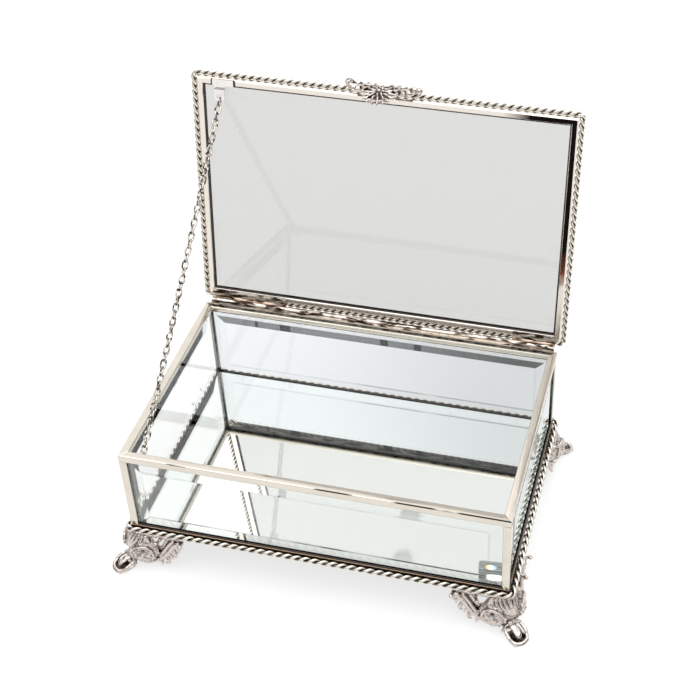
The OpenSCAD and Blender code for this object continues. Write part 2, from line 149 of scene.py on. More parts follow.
ROOM_LIGHT = 1.25
OVERHEAD_LIGHT = 1.25
world = bpy.data.worlds.new("studio")
bpy.context.scene.world = world
world.use_nodes = True
room = world.node_tree
room.nodes.clear()
ways = add(room, "TexCoord")
split = add(room, "SeparateXYZ", {"Vector": ways.outputs["Generated"]})
sideways = add(room, "Math", {0: split.outputs["X"]}, operation="ABSOLUTE")
# Each fade of the room: the direction it follows, where it starts and ends, and the light at both
fades = (
    (split.outputs["Z"], 0.02, 0.20, 0.04, 1.0),
    (split.outputs["Y"], -0.92, -0.60, 0.40, 1.0),
    (sideways, 0.74, 0.90, 1.0, 0.15),
)
level_light = None
for socket, start, end, first, last in fades:
    fade = add(room, "MapRange", {
        "Value": socket, "From Min": start, "From Max": end, "To Min": first, "To Max": last,
    }, interpolation_type="SMOOTHSTEP")
    feeds = {0: fade, 1: level_light or ROOM_LIGHT}
    level_light = add(room, "Math", feeds, operation="MULTIPLY")
overhead = add(room, "MapRange", {
    "Value": split.outputs["Z"], "From Min": 0.80, "From Max": 0.86, "To Max": OVERHEAD_LIGHT,
})
strength = add(room, "Math", {0: level_light, 1: overhead}, operation="ADD")
# Seen straight on or through a pane, the room's dark parts are lit up to a plain white backdrop
BACKDROP_LIGHT = 1.03
path = add(room, "LightPath")
sight = add(room, "Math", {
    0: path.outputs["Is Camera Ray"], 1: path.outputs["Is Transmission Ray"],
}, operation="MAXIMUM")
filled = add(room, "Math", {0: strength, 1: BACKDROP_LIGHT}, operation="MAXIMUM")
seen = add(room, "MapRange", {"Value": sight, "To Min": strength, "To Max": filled})
light = add(room, "Background", {"Color": (1, 1, 1, 1), "Strength": seen})
add(room, "OutputWorld", {"Surface": light})


# Rails and posts: the body's frame is folded from 0.8 mm brass strip, mitred and soldered at the
# corners, then silver plated and polished. The top rails cap the panes, the bottom ones carry them.
SIDES = ("front", "rear", "left", "right")
CORNERS = ("front_left", "front_right", "rear_left", "rear_right")
FOLD_MM = 0.36
WELD_MM = 0.002


def dress(material, *names):
    """Gives pieces of the frame their material."""
    for name in names:
        parts[name].data.materials.clear()
        parts[name].data.materials.append(material)


def soften(width_mm, *names):
    """Rounds the folds of pieces of the frame, as the press and the polishing wheel leave them."""
    for name in names:
        weld = parts[name].modifiers.new("weld", "WELD")
        weld.merge_threshold = WELD_MM * MM
        fold = parts[name].modifiers.new("fold", "BEVEL")
        fold.width = width_mm * MM
        fold.segments = 2
        fold.limit_method = "ANGLE"
        fold.angle_limit = math.radians(40)
        fold.harden_normals = True
        parts[name].data.polygons.foreach_set("use_smooth", [True] * len(parts[name].data.polygons))


def polish(tree, place, shade, dull):
    """Ends a plate material with a metal that has soft hand-polished ripples about 12 mm long."""
    ripple = add(tree, "TexNoise", {
        "Vector": place.outputs["Object"], "Scale": 1 / (12 * MM), "Detail": 1.0,
    })
    wave = add(tree, "Bump", {"Height": ripple, "Strength": 0.35, "Distance": 0.12 * MM})
    plate = add(tree, "BsdfPrincipled", {
        "Base Color": shade, "Metallic": 1.0, "Roughness": dull, "Normal": wave,
    })
    add(tree, "OutputMaterial", {"Surface": plate})


# Silver plate on folded brass: a warm white mirror whose reflections waver a little on its ripples,
# under a fine haze of wiping marks.
plated_sheet, tree = new_material("polished silver plate")
place = add(tree, "TexCoord")
haze = add(tree, "TexNoise", {
    "Vector": place.outputs["Object"], "Scale": 1 / (9 * MM), "Detail": 4.0, "Roughness": 0.6,
})
dull = add(tree, "MapRange", {
    "Value": haze, "From Min": 0.3, "From Max": 0.75, "To Min": 0.09, "To Max": 0.2,
})
wear = add(tree, "MapRange", {"Value": haze, "From Min": 0.25, "From Max": 0.75})
shade = add(tree, "MixRGB", {"Fac": wear, "Color1": tone("#DCD5CA"), "Color2": tone("#CFC7BB")})
polish(tree, place, shade, dull)

body_rails = [f"{side}_{level_name}_rail" for side in SIDES for level_name in ("top", "bottom")]
body_posts = [f"{corner}_post" for corner in CORNERS]
dress(plated_sheet, *body_rails, *body_posts)
soften(FOLD_MM, *body_rails, *body_posts)

# Painted reflection and shade: a broken dark line is painted along the front top rail's outer fold as its
# dark reflection, and under the hinge the rear rail's top, and its faces lower down, are painted olive
# black as the hinge's shade, with a bright edge left in front of it.
PAINTED_FOLD_LINE_MM = 0.45
FADE_MM = 0.15
HINGE_SHADE_MM = (3.4, 1.2)
UNDER_RIM_MM = (2.7, 2.3)


def rail_with_painted_dark(name, sheltered):
    """Polished plate with a broken dark line painted along the outer fold as its reflection or, where it's
    sheltered, painted shade: a dark band between two distances in from the rear of the body, and the faces
    below it."""
    made, tree = new_material(name)
    place = add(tree, "TexCoord")
    split = add(tree, "SeparateXYZ", {"Vector": place.outputs["Object"]})
    wear = add(tree, "TexNoise", {"Vector": place.outputs["Object"], "Scale": 1 / (26 * MM), "Detail": 2.0})
    fine = add(tree, "TexNoise", {
        "Vector": place.outputs["Object"], "Scale": 1 / (3.5 * MM), "Detail": 4.0,
    })
    if sheltered:
        # painted shade under the hinge: a band across the top and the faces low down
        near, far = (rear_y - distance * MM for distance in HINGE_SHADE_MM)
        behind = add(tree, "MapRange", {
            "Value": split.outputs["Y"], "From Min": near - FADE_MM * MM, "From Max": near + FADE_MM * MM,
        })
        ahead = add(tree, "MapRange", {
            "Value": split.outputs["Y"], "From Min": far - FADE_MM * MM, "From Max": far + FADE_MM * MM,
            "To Min": 1.0, "To Max": 0.0,
        })
        under = add(tree, "MapRange", {
            "Value": split.outputs["Z"], "From Min": rim_z - UNDER_RIM_MM[0] * MM,
            "From Max": rim_z - UNDER_RIM_MM[1] * MM, "To Min": 1.0, "To Max": 0.0,
        })
        strip = add(tree, "Math", {0: behind, 1: ahead}, operation="MULTIPLY")
        where = add(tree, "Math", {0: strip, 1: under}, operation="MAXIMUM")
        much = add(tree, "MapRange", {
            "Value": fine, "From Min": 0.36, "From Max": 0.64, "To Min": 1.0, "To Max": 0.7,
        })
    else:
        # a painted dark reflection along the outer fold, broken by noise
        fold_end = (PAINTED_FOLD_LINE_MM + 0.12) * MM
        out = add(tree, "MapRange", {
            "Value": split.outputs["Y"], "From Min": front_y + PAINTED_FOLD_LINE_MM * MM,
            "From Max": front_y + fold_end, "To Min": 1.0, "To Max": 0.0,
        })
        high = add(tree, "MapRange", {
            "Value": split.outputs["Z"], "From Min": rim_z - fold_end,
            "From Max": rim_z - PAINTED_FOLD_LINE_MM * MM,
        })
        where = add(tree, "Math", {0: out, 1: high}, operation="MULTIPLY")
        drift = add(tree, "Math", {0: split.outputs["X"], 1: 1.6, 2: wear}, operation="MULTIPLY_ADD")
        much = add(tree, "MapRange", {"Value": drift, "From Min": 0.5, "From Max": 0.57})
    # where the painted dark falls: the fold's reflection, or the hinge's shade
    dark = add(tree, "Math", {0: where, 1: much}, operation="MULTIPLY")
    haze = add(tree, "MapRange", {
        "Value": fine, "From Min": 0.3, "From Max": 0.75, "To Min": 0.09, "To Max": 0.2,
    })
    plain = add(tree, "MixRGB", {"Fac": wear, "Color1": tone("#DCD5CA"), "Color2": tone("#CFC7BB")})
    shade = add(tree, "MixRGB", {"Fac": dark, "Color1": plain, "Color2": tone("#25241D")})
    polish(tree, place, shade, haze)
    return made


dress(rail_with_painted_dark("silver plate with a painted dark fold line", False), "front_top_rail")
dress(rail_with_painted_dark("silver plate with painted shade under the hinge", True), "rear_top_rail")

# The bottom rails are painted brown-black between the rope and the glass, as the shade the rope throws
# there, with faint lighter worn patches, and the edge along their top, above that painted shade, is rubbed
# to a dull brown.
rope_shaded_sheet, tree = new_material("silver plate painted with the rope's shade")
place = add(tree, "TexCoord")
height = add(tree, "SeparateXYZ", {"Vector": place.outputs["Object"]})
rail_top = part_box("front_bottom_rail")[1].z
RUBBED_MM = 0.3
flux = add(tree, "TexNoise", {"Vector": place.outputs["Object"], "Scale": 1 / (6 * MM), "Detail": 4.0})
rubbed = add(tree, "MapRange", {
    "Value": height.outputs["Z"], "From Min": rail_top - (RUBBED_MM + 0.15) * MM,
    "From Max": rail_top - RUBBED_MM * MM,
})
worn = add(tree, "MapRange", {"Value": flux, "From Min": 0.45, "From Max": 0.8, "To Max": 0.12})
bright = add(tree, "Math", {0: rubbed, 1: worn}, operation="ADD", use_clamp=True)
# painted shade of the rope: brown-black, lighter along the top edge
shade = add(tree, "MixRGB", {"Fac": bright, "Color1": tone("#2B211A"), "Color2": tone("#A8927A")})
toned = add(tree, "BsdfPrincipled", {"Base Color": shade, "Metallic": 1.0, "Roughness": 0.25})
add(tree, "OutputMaterial", {"Surface": toned})
dress(rope_shaded_sheet, *[f"{side}_bottom_rail" for side in SIDES])


# Wall panes: 2.6 mm clear float glass with a 10 mm bevel ground and polished round the outer face.
# They stand in the bottom rails and the top rails hold them down.
GLASS_IOR = 1.52
BEVEL_MM = 10.0
ARRIS_MM = 0.8
SHADOW_TINT = "#FCFDFC"
ROOM_DARK = "#090C0C"


def float_glass(name, tint, shadow_tint):
    """A clear glass, its tree and its shader. Light for shadows goes straight through it."""
    made, tree = new_material(name)
    glass = add(tree, "BsdfPrincipled", {
        "Base Color": tone(tint), "Roughness": 0.0, "IOR": GLASS_IOR, "Transmission Weight": 1.0,
    })
    through = add(tree, "BsdfTransparent", {"Color": tone(shadow_tint)})
    path = add(tree, "LightPath")
    unseen = add(tree, "Math", {
        0: path.outputs["Is Shadow Ray"], 1: path.outputs["Is Diffuse Ray"],
    }, operation="MAXIMUM")
    window = add(tree, "MixShader", {"Fac": unseen, 1: glass, 2: through})
    add(tree, "OutputMaterial", {"Surface": window})
    return made, tree, glass


def painted_arris_lines(tree, place, lengthwise, past, edge, on_slope, top_half, strength):
    """The painted dark reflection along the bevel's arris: a line, patchy and clearer towards one end, with
    a fainter one down each mitre. It is light on the uprights and along the top."""
    gap = add(tree, "Math", {0: past[0], 1: past[1]}, operation="SUBTRACT")
    lines = []
    for distance, share in ((edge, strength), (gap, strength / 2)):
        size = add(tree, "Math", {0: distance}, operation="ABSOLUTE")
        lines.append(add(tree, "MapRange", {
            "Value": size, "From Min": ARRIS_MM / 2 * MM, "From Max": ARRIS_MM * MM, "To Min": share,
            "To Max": 0.0,
        }))
    mitre = add(tree, "Math", {0: lines[1], 1: on_slope}, operation="MULTIPLY")
    crisp = add(tree, "Math", {0: lines[0], 1: mitre}, operation="MAXIMUM")
    drag = add(tree, "TexNoise", {"Vector": place.outputs["Object"], "Scale": 1 / (22 * MM), "Detail": 1.0})
    drift = add(tree, "Math", {0: lengthwise, 1: 3.0, 2: drag}, operation="MULTIPLY_ADD")
    fading = add(tree, "MapRange", {
        "Value": drift, "From Min": 0.4, "From Max": 0.6, "To Min": 0.45, "To Max": 1.0,
    })
    patchy = add(tree, "Math", {0: crisp, 1: fading}, operation="MULTIPLY")
    upright = add(tree, "Math", {0: past[0], 1: past[1]}, operation="GREATER_THAN")
    lighter = add(tree, "Math", {0: upright, 1: -0.75, 2: 1.0}, operation="MULTIPLY_ADD")
    fainter = add(tree, "Math", {0: top_half, 1: -0.8, 2: 1.0}, operation="MULTIPLY_ADD")
    softer = add(tree, "Math", {0: lighter, 1: fainter}, operation="MULTIPLY")
    return add(tree, "Math", {0: patchy, 1: softer}, operation="MULTIPLY")


def painted_room_reflection(tree, lengthwise, past, top_half, band_share, patch_share):
    """The painted reflection of the dark of the room that the upper bevel holds: a band along its arris,
    deeper towards one end, with crisp darker patches."""
    stretched = add(tree, "Math", {0: lengthwise, 1: 1 / (15 * MM)}, operation="MULTIPLY")
    patches = add(tree, "TexNoise", {"W": stretched, "Scale": 1.0, "Detail": 3.0}, noise_dimensions="1D")
    dark_patch = add(tree, "MapRange", {
        "Value": patches, "From Min": 0.6, "From Max": 0.62, "To Max": patch_share,
    })
    deepening = add(tree, "MapRange", {
        "Value": lengthwise, "From Min": 10 * MM, "From Max": 75 * MM, "To Min": band_share,
        "To Max": min(0.98, band_share * 1.7),
    })
    share = add(tree, "Math", {0: dark_patch, 1: deepening}, operation="ADD", use_clamp=True)
    band = add(tree, "MapRange", {
        "Value": past[1], "From Min": 4.4 * MM, "From Max": 5.0 * MM, "To Min": 1.0, "To Max": 0.25,
    })
    banded = add(tree, "Math", {0: share, 1: band}, operation="MULTIPLY")
    upper = add(tree, "Math", {0: past[1], 1: past[0]}, operation="GREATER_THAN")
    facet = add(tree, "Math", {0: top_half, 1: upper}, operation="MULTIPLY")
    return add(tree, "Math", {0: banded, 1: facet}, operation="MULTIPLY")


# Where the front pane's two bevels cross at the low right corner, a glint of white light and a spectrum is
# painted on, glowing. Its spots, in mm from the pane's right and lower edges: middle and half size across,
# middle and half height, and how square they are. The last is the murky cell round them, painted darker.
PRISM_SPOTS_MM = ((8.8, 3.2, 16.8, 1.8, 1), (7.0, 4.2, 9.4, 2.5, 2), (7.8, 7.4, 11.0, 10.5, 4))
PRISM_HUES = ((0.0, "#C86A1E"), (0.25, "#FFE27A"), (0.5, "#FFFFFF"), (0.75, "#9FD4FF"), (1.0, "#3F6FC8"))
PRISM_WIDE_MM, PRISM_TALL_MM = 16.0, 24.0


def paint_prism_glint(tree, glass, shade, split, outer, corner_x, corner_z):
    """Paints the prism corner's glowing glint and its darker cell onto the front pane's glass, at the
    corner's place from its middle.
    """
    u = add(tree, "MapRange", {
        "Value": split.outputs["X"], "From Min": corner_x - PRISM_WIDE_MM * MM, "From Max": corner_x,
        "To Min": PRISM_WIDE_MM, "To Max": 0.0,
    })
    v = add(tree, "MapRange", {
        "Value": split.outputs["Z"], "From Min": corner_z, "From Max": corner_z + PRISM_TALL_MM * MM,
        "To Max": PRISM_TALL_MM,
    })
    spots = []
    for middle_u, half_u, middle_v, half_v, sharp in PRISM_SPOTS_MM:
        sizes = []
        for distance, centre, reach in ((u, middle_u, half_u), (v, middle_v, half_v)):
            away = add(tree, "Math", {0: distance, 1: -centre}, operation="ADD")
            share = add(tree, "Math", {0: away, 1: 1 / reach}, operation="MULTIPLY")
            sizes.append(add(tree, "Math", {0: share, 1: 2.0 * sharp}, operation="POWER"))
        total = add(tree, "Math", {0: sizes[0], 1: sizes[1]}, operation="ADD")
        spots.append(add(tree, "MapRange", {
            "Value": total, "From Min": 0.55, "From Max": 1.1, "To Min": 1.0, "To Max": 0.0,
        }))
    spectrum, white_glint, cell = spots
    hues = add(tree, "MapRange", {"Value": u, "From Min": 12.0, "From Max": 5.5})
    spread = add(tree, "ValToRGB", {"Fac": hues})
    for i, (at, code) in enumerate(PRISM_HUES):
        stop = spread.color_ramp.elements.new(at) if i > 1 else spread.color_ramp.elements[i]
        stop.position, stop.color = at, tone(code)
    # painted glint: a glowing white spot over a spectrum
    glint_colour = add(tree, "MixRGB", {"Fac": white_glint, "Color1": spread, "Color2": tone("#FFFDF4")})
    glow = add(tree, "Math", {0: spectrum, 1: white_glint}, operation="MAXIMUM")
    skin = add(tree, "NewGeometry")
    outside = add(tree, "Math", {
        0: outer, 1: skin.outputs["Backfacing"],
    }, operation="SUBTRACT", use_clamp=True)
    glow_out = add(tree, "Math", {0: glow, 1: outside}, operation="MULTIPLY")
    tree.links.new(glint_colour.outputs[0], glass.inputs["Emission Color"])
    tree.links.new(glow_out.outputs[0], glass.inputs["Emission Strength"])
    # painted dark cell round the glint, in streaks
    streaks = add(tree, "TexNoise", {"W": v, "Scale": 0.55, "Detail": 2.0}, noise_dimensions="1D")
    deep = add(tree, "MapRange", {
        "Value": streaks, "From Min": 0.35, "From Max": 0.6, "To Min": 0.7, "To Max": 1.0,
    })
    held = add(tree, "Math", {0: deep, 1: cell}, operation="MULTIPLY")
    painted_murk = add(tree, "Math", {0: held, 1: outer}, operation="MULTIPLY")
    return add(tree, "MixRGB", {"Fac": painted_murk, "Color1": shade, "Color2": tone("#2A3230")})


def wall_pane(side, along, line_strength, caught, tint, far_tint):
    """The glass of one wall. Its bevel is a shade greyer, with a painted dark reflection along its arris.
    caught says how much painted reflection of the dark of the room its upper bevel holds, in the band and
    in the patches."""
    made, tree, glass = float_glass(f"clear float glass of the {side}", tint, SHADOW_TINT)
    low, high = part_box(f"{side}_glass")
    middle, half = (low + high) / 2, (high - low) / 2
    place = add(tree, "TexCoord")
    offset = add(tree, "VectorMath", {0: place.outputs["Object"], 1: middle}, operation="SUBTRACT")
    outward = add(tree, "VectorMath", {0: offset, 1: place.outputs["Normal"]}, operation="DOT_PRODUCT")
    outer = add(tree, "Math", {0: outward.outputs["Value"], 1: 0.2 * MM}, operation="GREATER_THAN")
    split = add(tree, "SeparateXYZ", {"Vector": offset})
    lengthwise = split.outputs[along]
    past = []
    for axis, reach in ((along, half["XYZ".index(along)]), ("Z", half.z)):
        size = add(tree, "Math", {0: split.outputs[axis]}, operation="ABSOLUTE")
        past.append(add(tree, "Math", {0: size, 1: reach - BEVEL_MM * MM}, operation="SUBTRACT"))
    edge = add(tree, "Math", {0: past[0], 1: past[1]}, operation="MAXIMUM")
    on_slope = add(tree, "Math", {0: edge, 1: 0.0}, operation="GREATER_THAN")
    top_half = add(tree, "Math", {
        0: split.outputs["Z"], 1: half.z - (BEVEL_MM + 1) * MM,
    }, operation="GREATER_THAN")
    arris = painted_arris_lines(tree, place, lengthwise, past, edge, on_slope, top_half, line_strength)
    held = painted_room_reflection(tree, lengthwise, past, top_half, *caught)
    duller = add(tree, "Math", {0: held, 1: 0.06}, operation="MAXIMUM")
    ground = add(tree, "Math", {0: duller, 1: on_slope}, operation="MULTIPLY")
    both = add(tree, "Math", {0: arris, 1: ground}, operation="MAXIMUM")
    grey = add(tree, "Math", {0: both, 1: outer}, operation="MULTIPLY")
    far_share = add(tree, "MapRange", {
        "Value": lengthwise, "From Min": -60 * MM, "From Max": 90 * MM,
    }, interpolation_type="SMOOTHSTEP")
    # the tint runs towards far_tint along the pane: on the rear pane a painted reflection of the room's
    # dark side
    clear = add(tree, "MixRGB", {"Fac": far_share, "Color1": tone(tint), "Color2": tone(far_tint)})
    # painted dark reflection on the bevel and along the arris
    shade = add(tree, "MixRGB", {"Fac": grey, "Color1": clear, "Color2": tone(ROOM_DARK)})
    if side == "front":
        shade = paint_prism_glint(tree, glass, shade, split, outer, half.x, -half.z)
    tree.links.new(shade.outputs[0], glass.inputs["Base Color"])
    return made


# Each wall's pane: its direction, the strength of its painted lines, the painted dark of the room on its
# upper bevel, and its tint at both ends. The rear one is tinted a pale grey, darker towards one end, as a
# painted reflection of the room's dark side, and the right one reads as a grey green.
panes = {
    "front": ("X", 1.0, (0.0, 0.0), "#FAFCFB", "#F6F8F7"),
    "rear": ("X", 0.6, (0.93, 0.07), "#E6E9EB", "#CDD0D1"),
    "left": ("Y", 0.6, (0.25, 0.4), "#F6F8F7", "#F6F8F7"),
    "right": ("Y", 0.6, (0.3, 0.45), "#D3E0DE", "#BACBC9"),
}
for side, finish in panes.items():
    dress(wall_pane(side, *finish), f"{side}_glass")


# Bedding: a fillet of dark glazing putty that beds each pane on the top edge of the bottom rail.
# It is carried round the corners in one piece and left brown-black and slightly glossy.
BEDDING_MM = ((0.25, 0.0), (0.86, 0.0), (0.86, 0.7), (0.6, 0.5), (0.4, 0.3))


def mitred_loop(name, half_x, half_y, profile_mm, place_at):
    """A strip with the given section (inward, upward) round a rectangle, mitred at its corners."""
    count = len(profile_mm)
    verts, faces = [], []
    for x_way, y_way in ROUND:
        verts += [(x_way * (half_x - a * MM), y_way * (half_y - a * MM), b * MM) for a, b in profile_mm]
    for corner in range(4):
        here, there = corner * count, (corner + 1) % 4 * count
        for i in range(count):
            j = (i + 1) % count
            faces.append((here + i, there + i, there + j, here + j))
    strip = mesh_object(name, verts, faces)
    strip.data.transform(place_at)
    skin = bmesh.new()
    skin.from_mesh(strip.data)
    bmesh.ops.recalc_face_normals(skin, faces=skin.faces)
    skin.to_mesh(strip.data)
    skin.free()
    strip.data.set_sharp_from_angle(angle=math.radians(32))
    return strip


putty, tree = new_material("dark glazing putty")
place = add(tree, "TexCoord")
thumbed = add(tree, "TexNoise", {"Vector": place.outputs["Object"], "Scale": 1 / (3 * MM), "Detail": 3.0})
shade = add(tree, "MapRange", {"Value": thumbed, "From Min": 0.35, "From Max": 0.7})
brown = add(tree, "MixRGB", {"Fac": shade, "Color1": tone("#15100D"), "Color2": tone("#3A2A20")})
dents = add(tree, "Bump", {"Height": thumbed, "Strength": 0.6, "Distance": 0.2 * MM})
putty_shader = add(tree, "BsdfPrincipled", {"Base Color": brown, "Roughness": 0.35, "Normal": dents})
add(tree, "OutputMaterial", {"Surface": putty_shader})

body_low, body_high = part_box("left_bottom_rail")[0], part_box("right_bottom_rail")[1]
body_x, body_y = (body_low.x + body_high.x) / 2, (front_y + rear_y) / 2
body_half_x, body_half_y = (body_high.x - body_low.x) / 2, (rear_y - front_y) / 2
at = Matrix.Translation((body_x, body_y, rail_top))
bedding = mitred_loop("wall_bedding", body_half_x, body_half_y, BEDDING_MM, at)
bedding.data.materials.append(putty)
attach(bedding, "box")


# Floor mirror: silvered glass laid on the ledges of the bottom rails, with a painted back. It
# shows the box a second time, upside down and a little greener.
mirror_glass, tree = new_material("silvered mirror glass")
place = add(tree, "TexCoord")
dust = add(tree, "TexNoise", {"Vector": place.outputs["Object"], "Scale": 1 / (30 * MM), "Detail": 6.0})
bloom = add(tree, "MapRange", {"Value": dust, "From Min": 0.4, "From Max": 0.8, "To Max": 0.03})
silver = add(tree, "BsdfPrincipled", {"Base Color": tone("#F4F7F5"), "Metallic": 1.0, "Roughness": bloom})
paint = add(tree, "BsdfPrincipled", {"Base Color": tone("#6E7471"), "Roughness": 0.6})
facing = add(tree, "SeparateXYZ", {"Vector": place.outputs["Normal"]})
back = add(tree, "Math", {0: facing.outputs["Z"], 1: -0.5}, operation="LESS_THAN")
mirror_face = add(tree, "MixShader", {"Fac": back, 1: silver, 2: paint})
add(tree, "OutputMaterial", {"Surface": mirror_face})
dress(mirror_glass, "floor_mirror")


# Rope edges: two plated wires twisted together and soldered round the foot of the body, and a
# second pair round the lid. They turn the corners in one piece.
ROPE_SIDES = 10
ROPE_STEPS = 22
ROPE_CORNER_MM = 2.4
# Shares of the rope's radius: the solder core, painted dark, where the bright crowns begin, and the fade
# into the grooves below them, with their painted shade
CORE_SHARE = 0.3
CROWN_SHARE = 0.74
GROOVE_SHARE = 0.25


def sweep(verts, faces, line, sides, radius, around):
    """Adds a closed ring of round wire to the points and faces, and gives its points. sides are
    directions across the line."""
    count, first = len(line), len(verts)
    for i, point in enumerate(line):
        tangent = (line[(i + 1) % count] - line[i - 1]).normalized()
        over = tangent.cross(sides[i]).normalized()
        side = over.cross(tangent)
        for k in range(around):
            angle = 2 * math.pi * k / around
            verts.append(point + radius * (math.cos(angle) * side + math.sin(angle) * over))
        a, b = first + i * around, first + (i + 1) % count * around
        faces += [(a + k, a + (k + 1) % around, b + (k + 1) % around, b + k) for k in range(around)]
    return verts[first:]


def rounded_loop(half_x, half_y, corner, step):
    """Evenly spaced points round a rectangle with round corners, each with its outward direction."""
    line, outs = [], []
    bend = corner * math.pi / 2
    wide, deep = 2 * (half_x - corner), 2 * (half_y - corner)
    # each straight side: its length, its heading and where it starts
    legs = [
        (wide, 0, (-half_x + corner, -half_y)), (deep, 90, (half_x, -half_y + corner)),
        (wide, 180, (half_x - corner, half_y)), (deep, 270, (-half_x, half_y - corner)),
    ]
    length = sum(leg for leg, _, _ in legs) + 4 * bend
    count = round(length / step)
    for i in range(count):
        along = i * length / count
        for leg, heading, start in legs:
            angle = math.radians(heading)
            ahead = Vector((math.cos(angle), math.sin(angle), 0))
            out = Vector((math.sin(angle), -math.cos(angle), 0))
            if along <= leg:
                line.append(Vector((*start, 0)) + along * ahead)
                outs.append(out)
                break
            along -= leg
            if along <= bend:
                swing = along / corner
                facing_way = math.cos(swing) * out + math.sin(swing) * ahead
                centre = Vector((*start, 0)) + leg * ahead - corner * out
                line.append(centre + corner * facing_way)
                outs.append(facing_way)
                break
            along -= bend
    return line, outs, length


def twisted_rope(name, half_x, half_y, radius, pitch, place_at, strand_share):
    """Two wires twisted round each other along a rounded rectangle, marked for painted shade where they
    touch.
    """
    line, outs, length = rounded_loop(half_x, half_y, ROPE_CORNER_MM * MM, pitch / ROPE_STEPS)
    turns = round(length / pitch)
    strand = strand_share * radius
    lift = radius - strand
    up = Vector((0, 0, 1))
    verts, faces, hollow = [], [], []
    for start in (0, math.pi):
        angles = [start + 2 * math.pi * turns * i / len(line) for i in range(len(line))]
        reach = [math.cos(a) * out + math.sin(a) * up for a, out in zip(angles, outs)]
        wire = [point + lift * way for point, way in zip(line, reach)]
        for i, corner in enumerate(sweep(verts, faces, wire, reach, strand, ROPE_SIDES)):
            far = (corner - line[i // ROPE_SIDES]).length / radius
            hollow.append(min(1.0, max(0.0, (CROWN_SHARE - far) / GROOVE_SHARE)))
    # the core: solder and flux between the strands, painted wholly dark with their shade
    hollow += [1.0] * len(sweep(verts, faces, line, outs, CORE_SHARE * radius, ROPE_SIDES))
    rope = mesh_object(name, verts, faces)
    rope.data.transform(place_at)
    rope.data.attributes.new("hollow", "FLOAT", "POINT").data.foreach_set("value", hollow)
    return rope


# Twisted wire: the same plate on drawn wire, bright on the crowns, with brown-black tarnish and solder flux
# left in the grooves between the strands, deepened there as painted shade.
rope_wire, tree = new_material("twisted plated wire")
place = add(tree, "TexCoord")
groove = add(tree, "Attribute", attribute_name="hollow")
stain = add(tree, "TexNoise", {"Vector": place.outputs["Object"], "Scale": 1 / (4 * MM), "Detail": 3.0})
patchy = add(tree, "MapRange", {
    "Value": stain, "From Min": 0.3, "From Max": 0.7, "To Min": 0.75, "To Max": 1.15,
})
# tarnish and painted shade: brown-black in the grooves, patchy
groove_patina_and_shade = add(tree, "Math", {0: groove.outputs["Fac"], 1: patchy}, operation="MULTIPLY", use_clamp=True)
shade = add(tree, "MixRGB", {"Fac": groove_patina_and_shade, "Color1": tone("#E4DDD2"), "Color2": tone("#17110D")})
dull = add(tree, "MapRange", {"Value": groove_patina_and_shade, "To Min": 0.12, "To Max": 0.55})
wire_shader = add(tree, "BsdfPrincipled", {"Base Color": shade, "Metallic": 1.0, "Roughness": dull})
add(tree, "OutputMaterial", {"Surface": wire_shader})

low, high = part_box("front_base_rope")
rope_r = (high.z - low.z) / 2
left_x, right_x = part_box("left_base_rope")[0].x + rope_r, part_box("right_base_rope")[1].x - rope_r
near_y, far_y = low.y + rope_r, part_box("rear_base_rope")[1].y - rope_r
BASE_PITCH_MM = 9.6
BASE_STRAND_SHARE = 0.45
at = Matrix.Translation(((left_x + right_x) / 2, (near_y + far_y) / 2, (low.z + high.z) / 2))
base_rope = twisted_rope(
    "base_rope", (right_x - left_x) / 2, (far_y - near_y) / 2, rope_r, BASE_PITCH_MM * MM, at,
    BASE_STRAND_SHARE,
)
base_rope.data.materials.append(rope_wire)
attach(base_rope, "box")
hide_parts(*[f"{side}_base_rope" for side in SIDES])


# Feet: four zinc castings of scrolled acanthus leaves, with a window under the rope and a scooped toe. They
# are soldered under the corners of the frame, plated and left toned in the hollows, which are darkened
# further as painted shade.
CAST_VOXEL_MM = 0.33
KNEE_MM = 10.0
KNEE_TURN_MM = 13.5
KNEE_SWELL_MM = 3.9
WING_TALL_MM = 24
WING_SEAT_MM = 1.75
WEB_STEP_MM = 0.75
TIP_BACK_MM = 2.9


def smooth_line(points, step):
    """Points no further apart than step along a smooth curve through the given ones."""
    points = [Vector(p) for p in points]
    padded = [2 * points[0] - points[1]] + points + [2 * points[-1] - points[-2]]
    line = []
    for a, b, c, d in zip(padded, padded[1:], padded[2:], padded[3:]):
        count = max(1, math.ceil((c - b).to_3d().length / step))
        for i in range(count):
            t = i / count
            slope = 2 * b + (c - a) * t + (2 * a - 5 * b + 4 * c - d) * t * t
            line.append(0.5 * (slope + (3 * b - a - 3 * c + d) * t ** 3))
    return line + [points[-1]]


def lump(clay, middle, sizes, turn=Matrix.Identity(3)):
    """Adds an egg of clay with the given half sizes to a model in millimetres."""
    clay.append(Matrix.Translation(middle) @ turn.to_4x4() @ Matrix.Diagonal((*sizes, 1)))


def roll(clay, points, place_point):
    """Lays a tapering roll of clay along points (x, y, z, radius), each moved by place_point."""
    for bead in smooth_line(points, 0.5):
        lump(clay, place_point(bead[0], bead[1], bead[2]), (bead[3],) * 3)


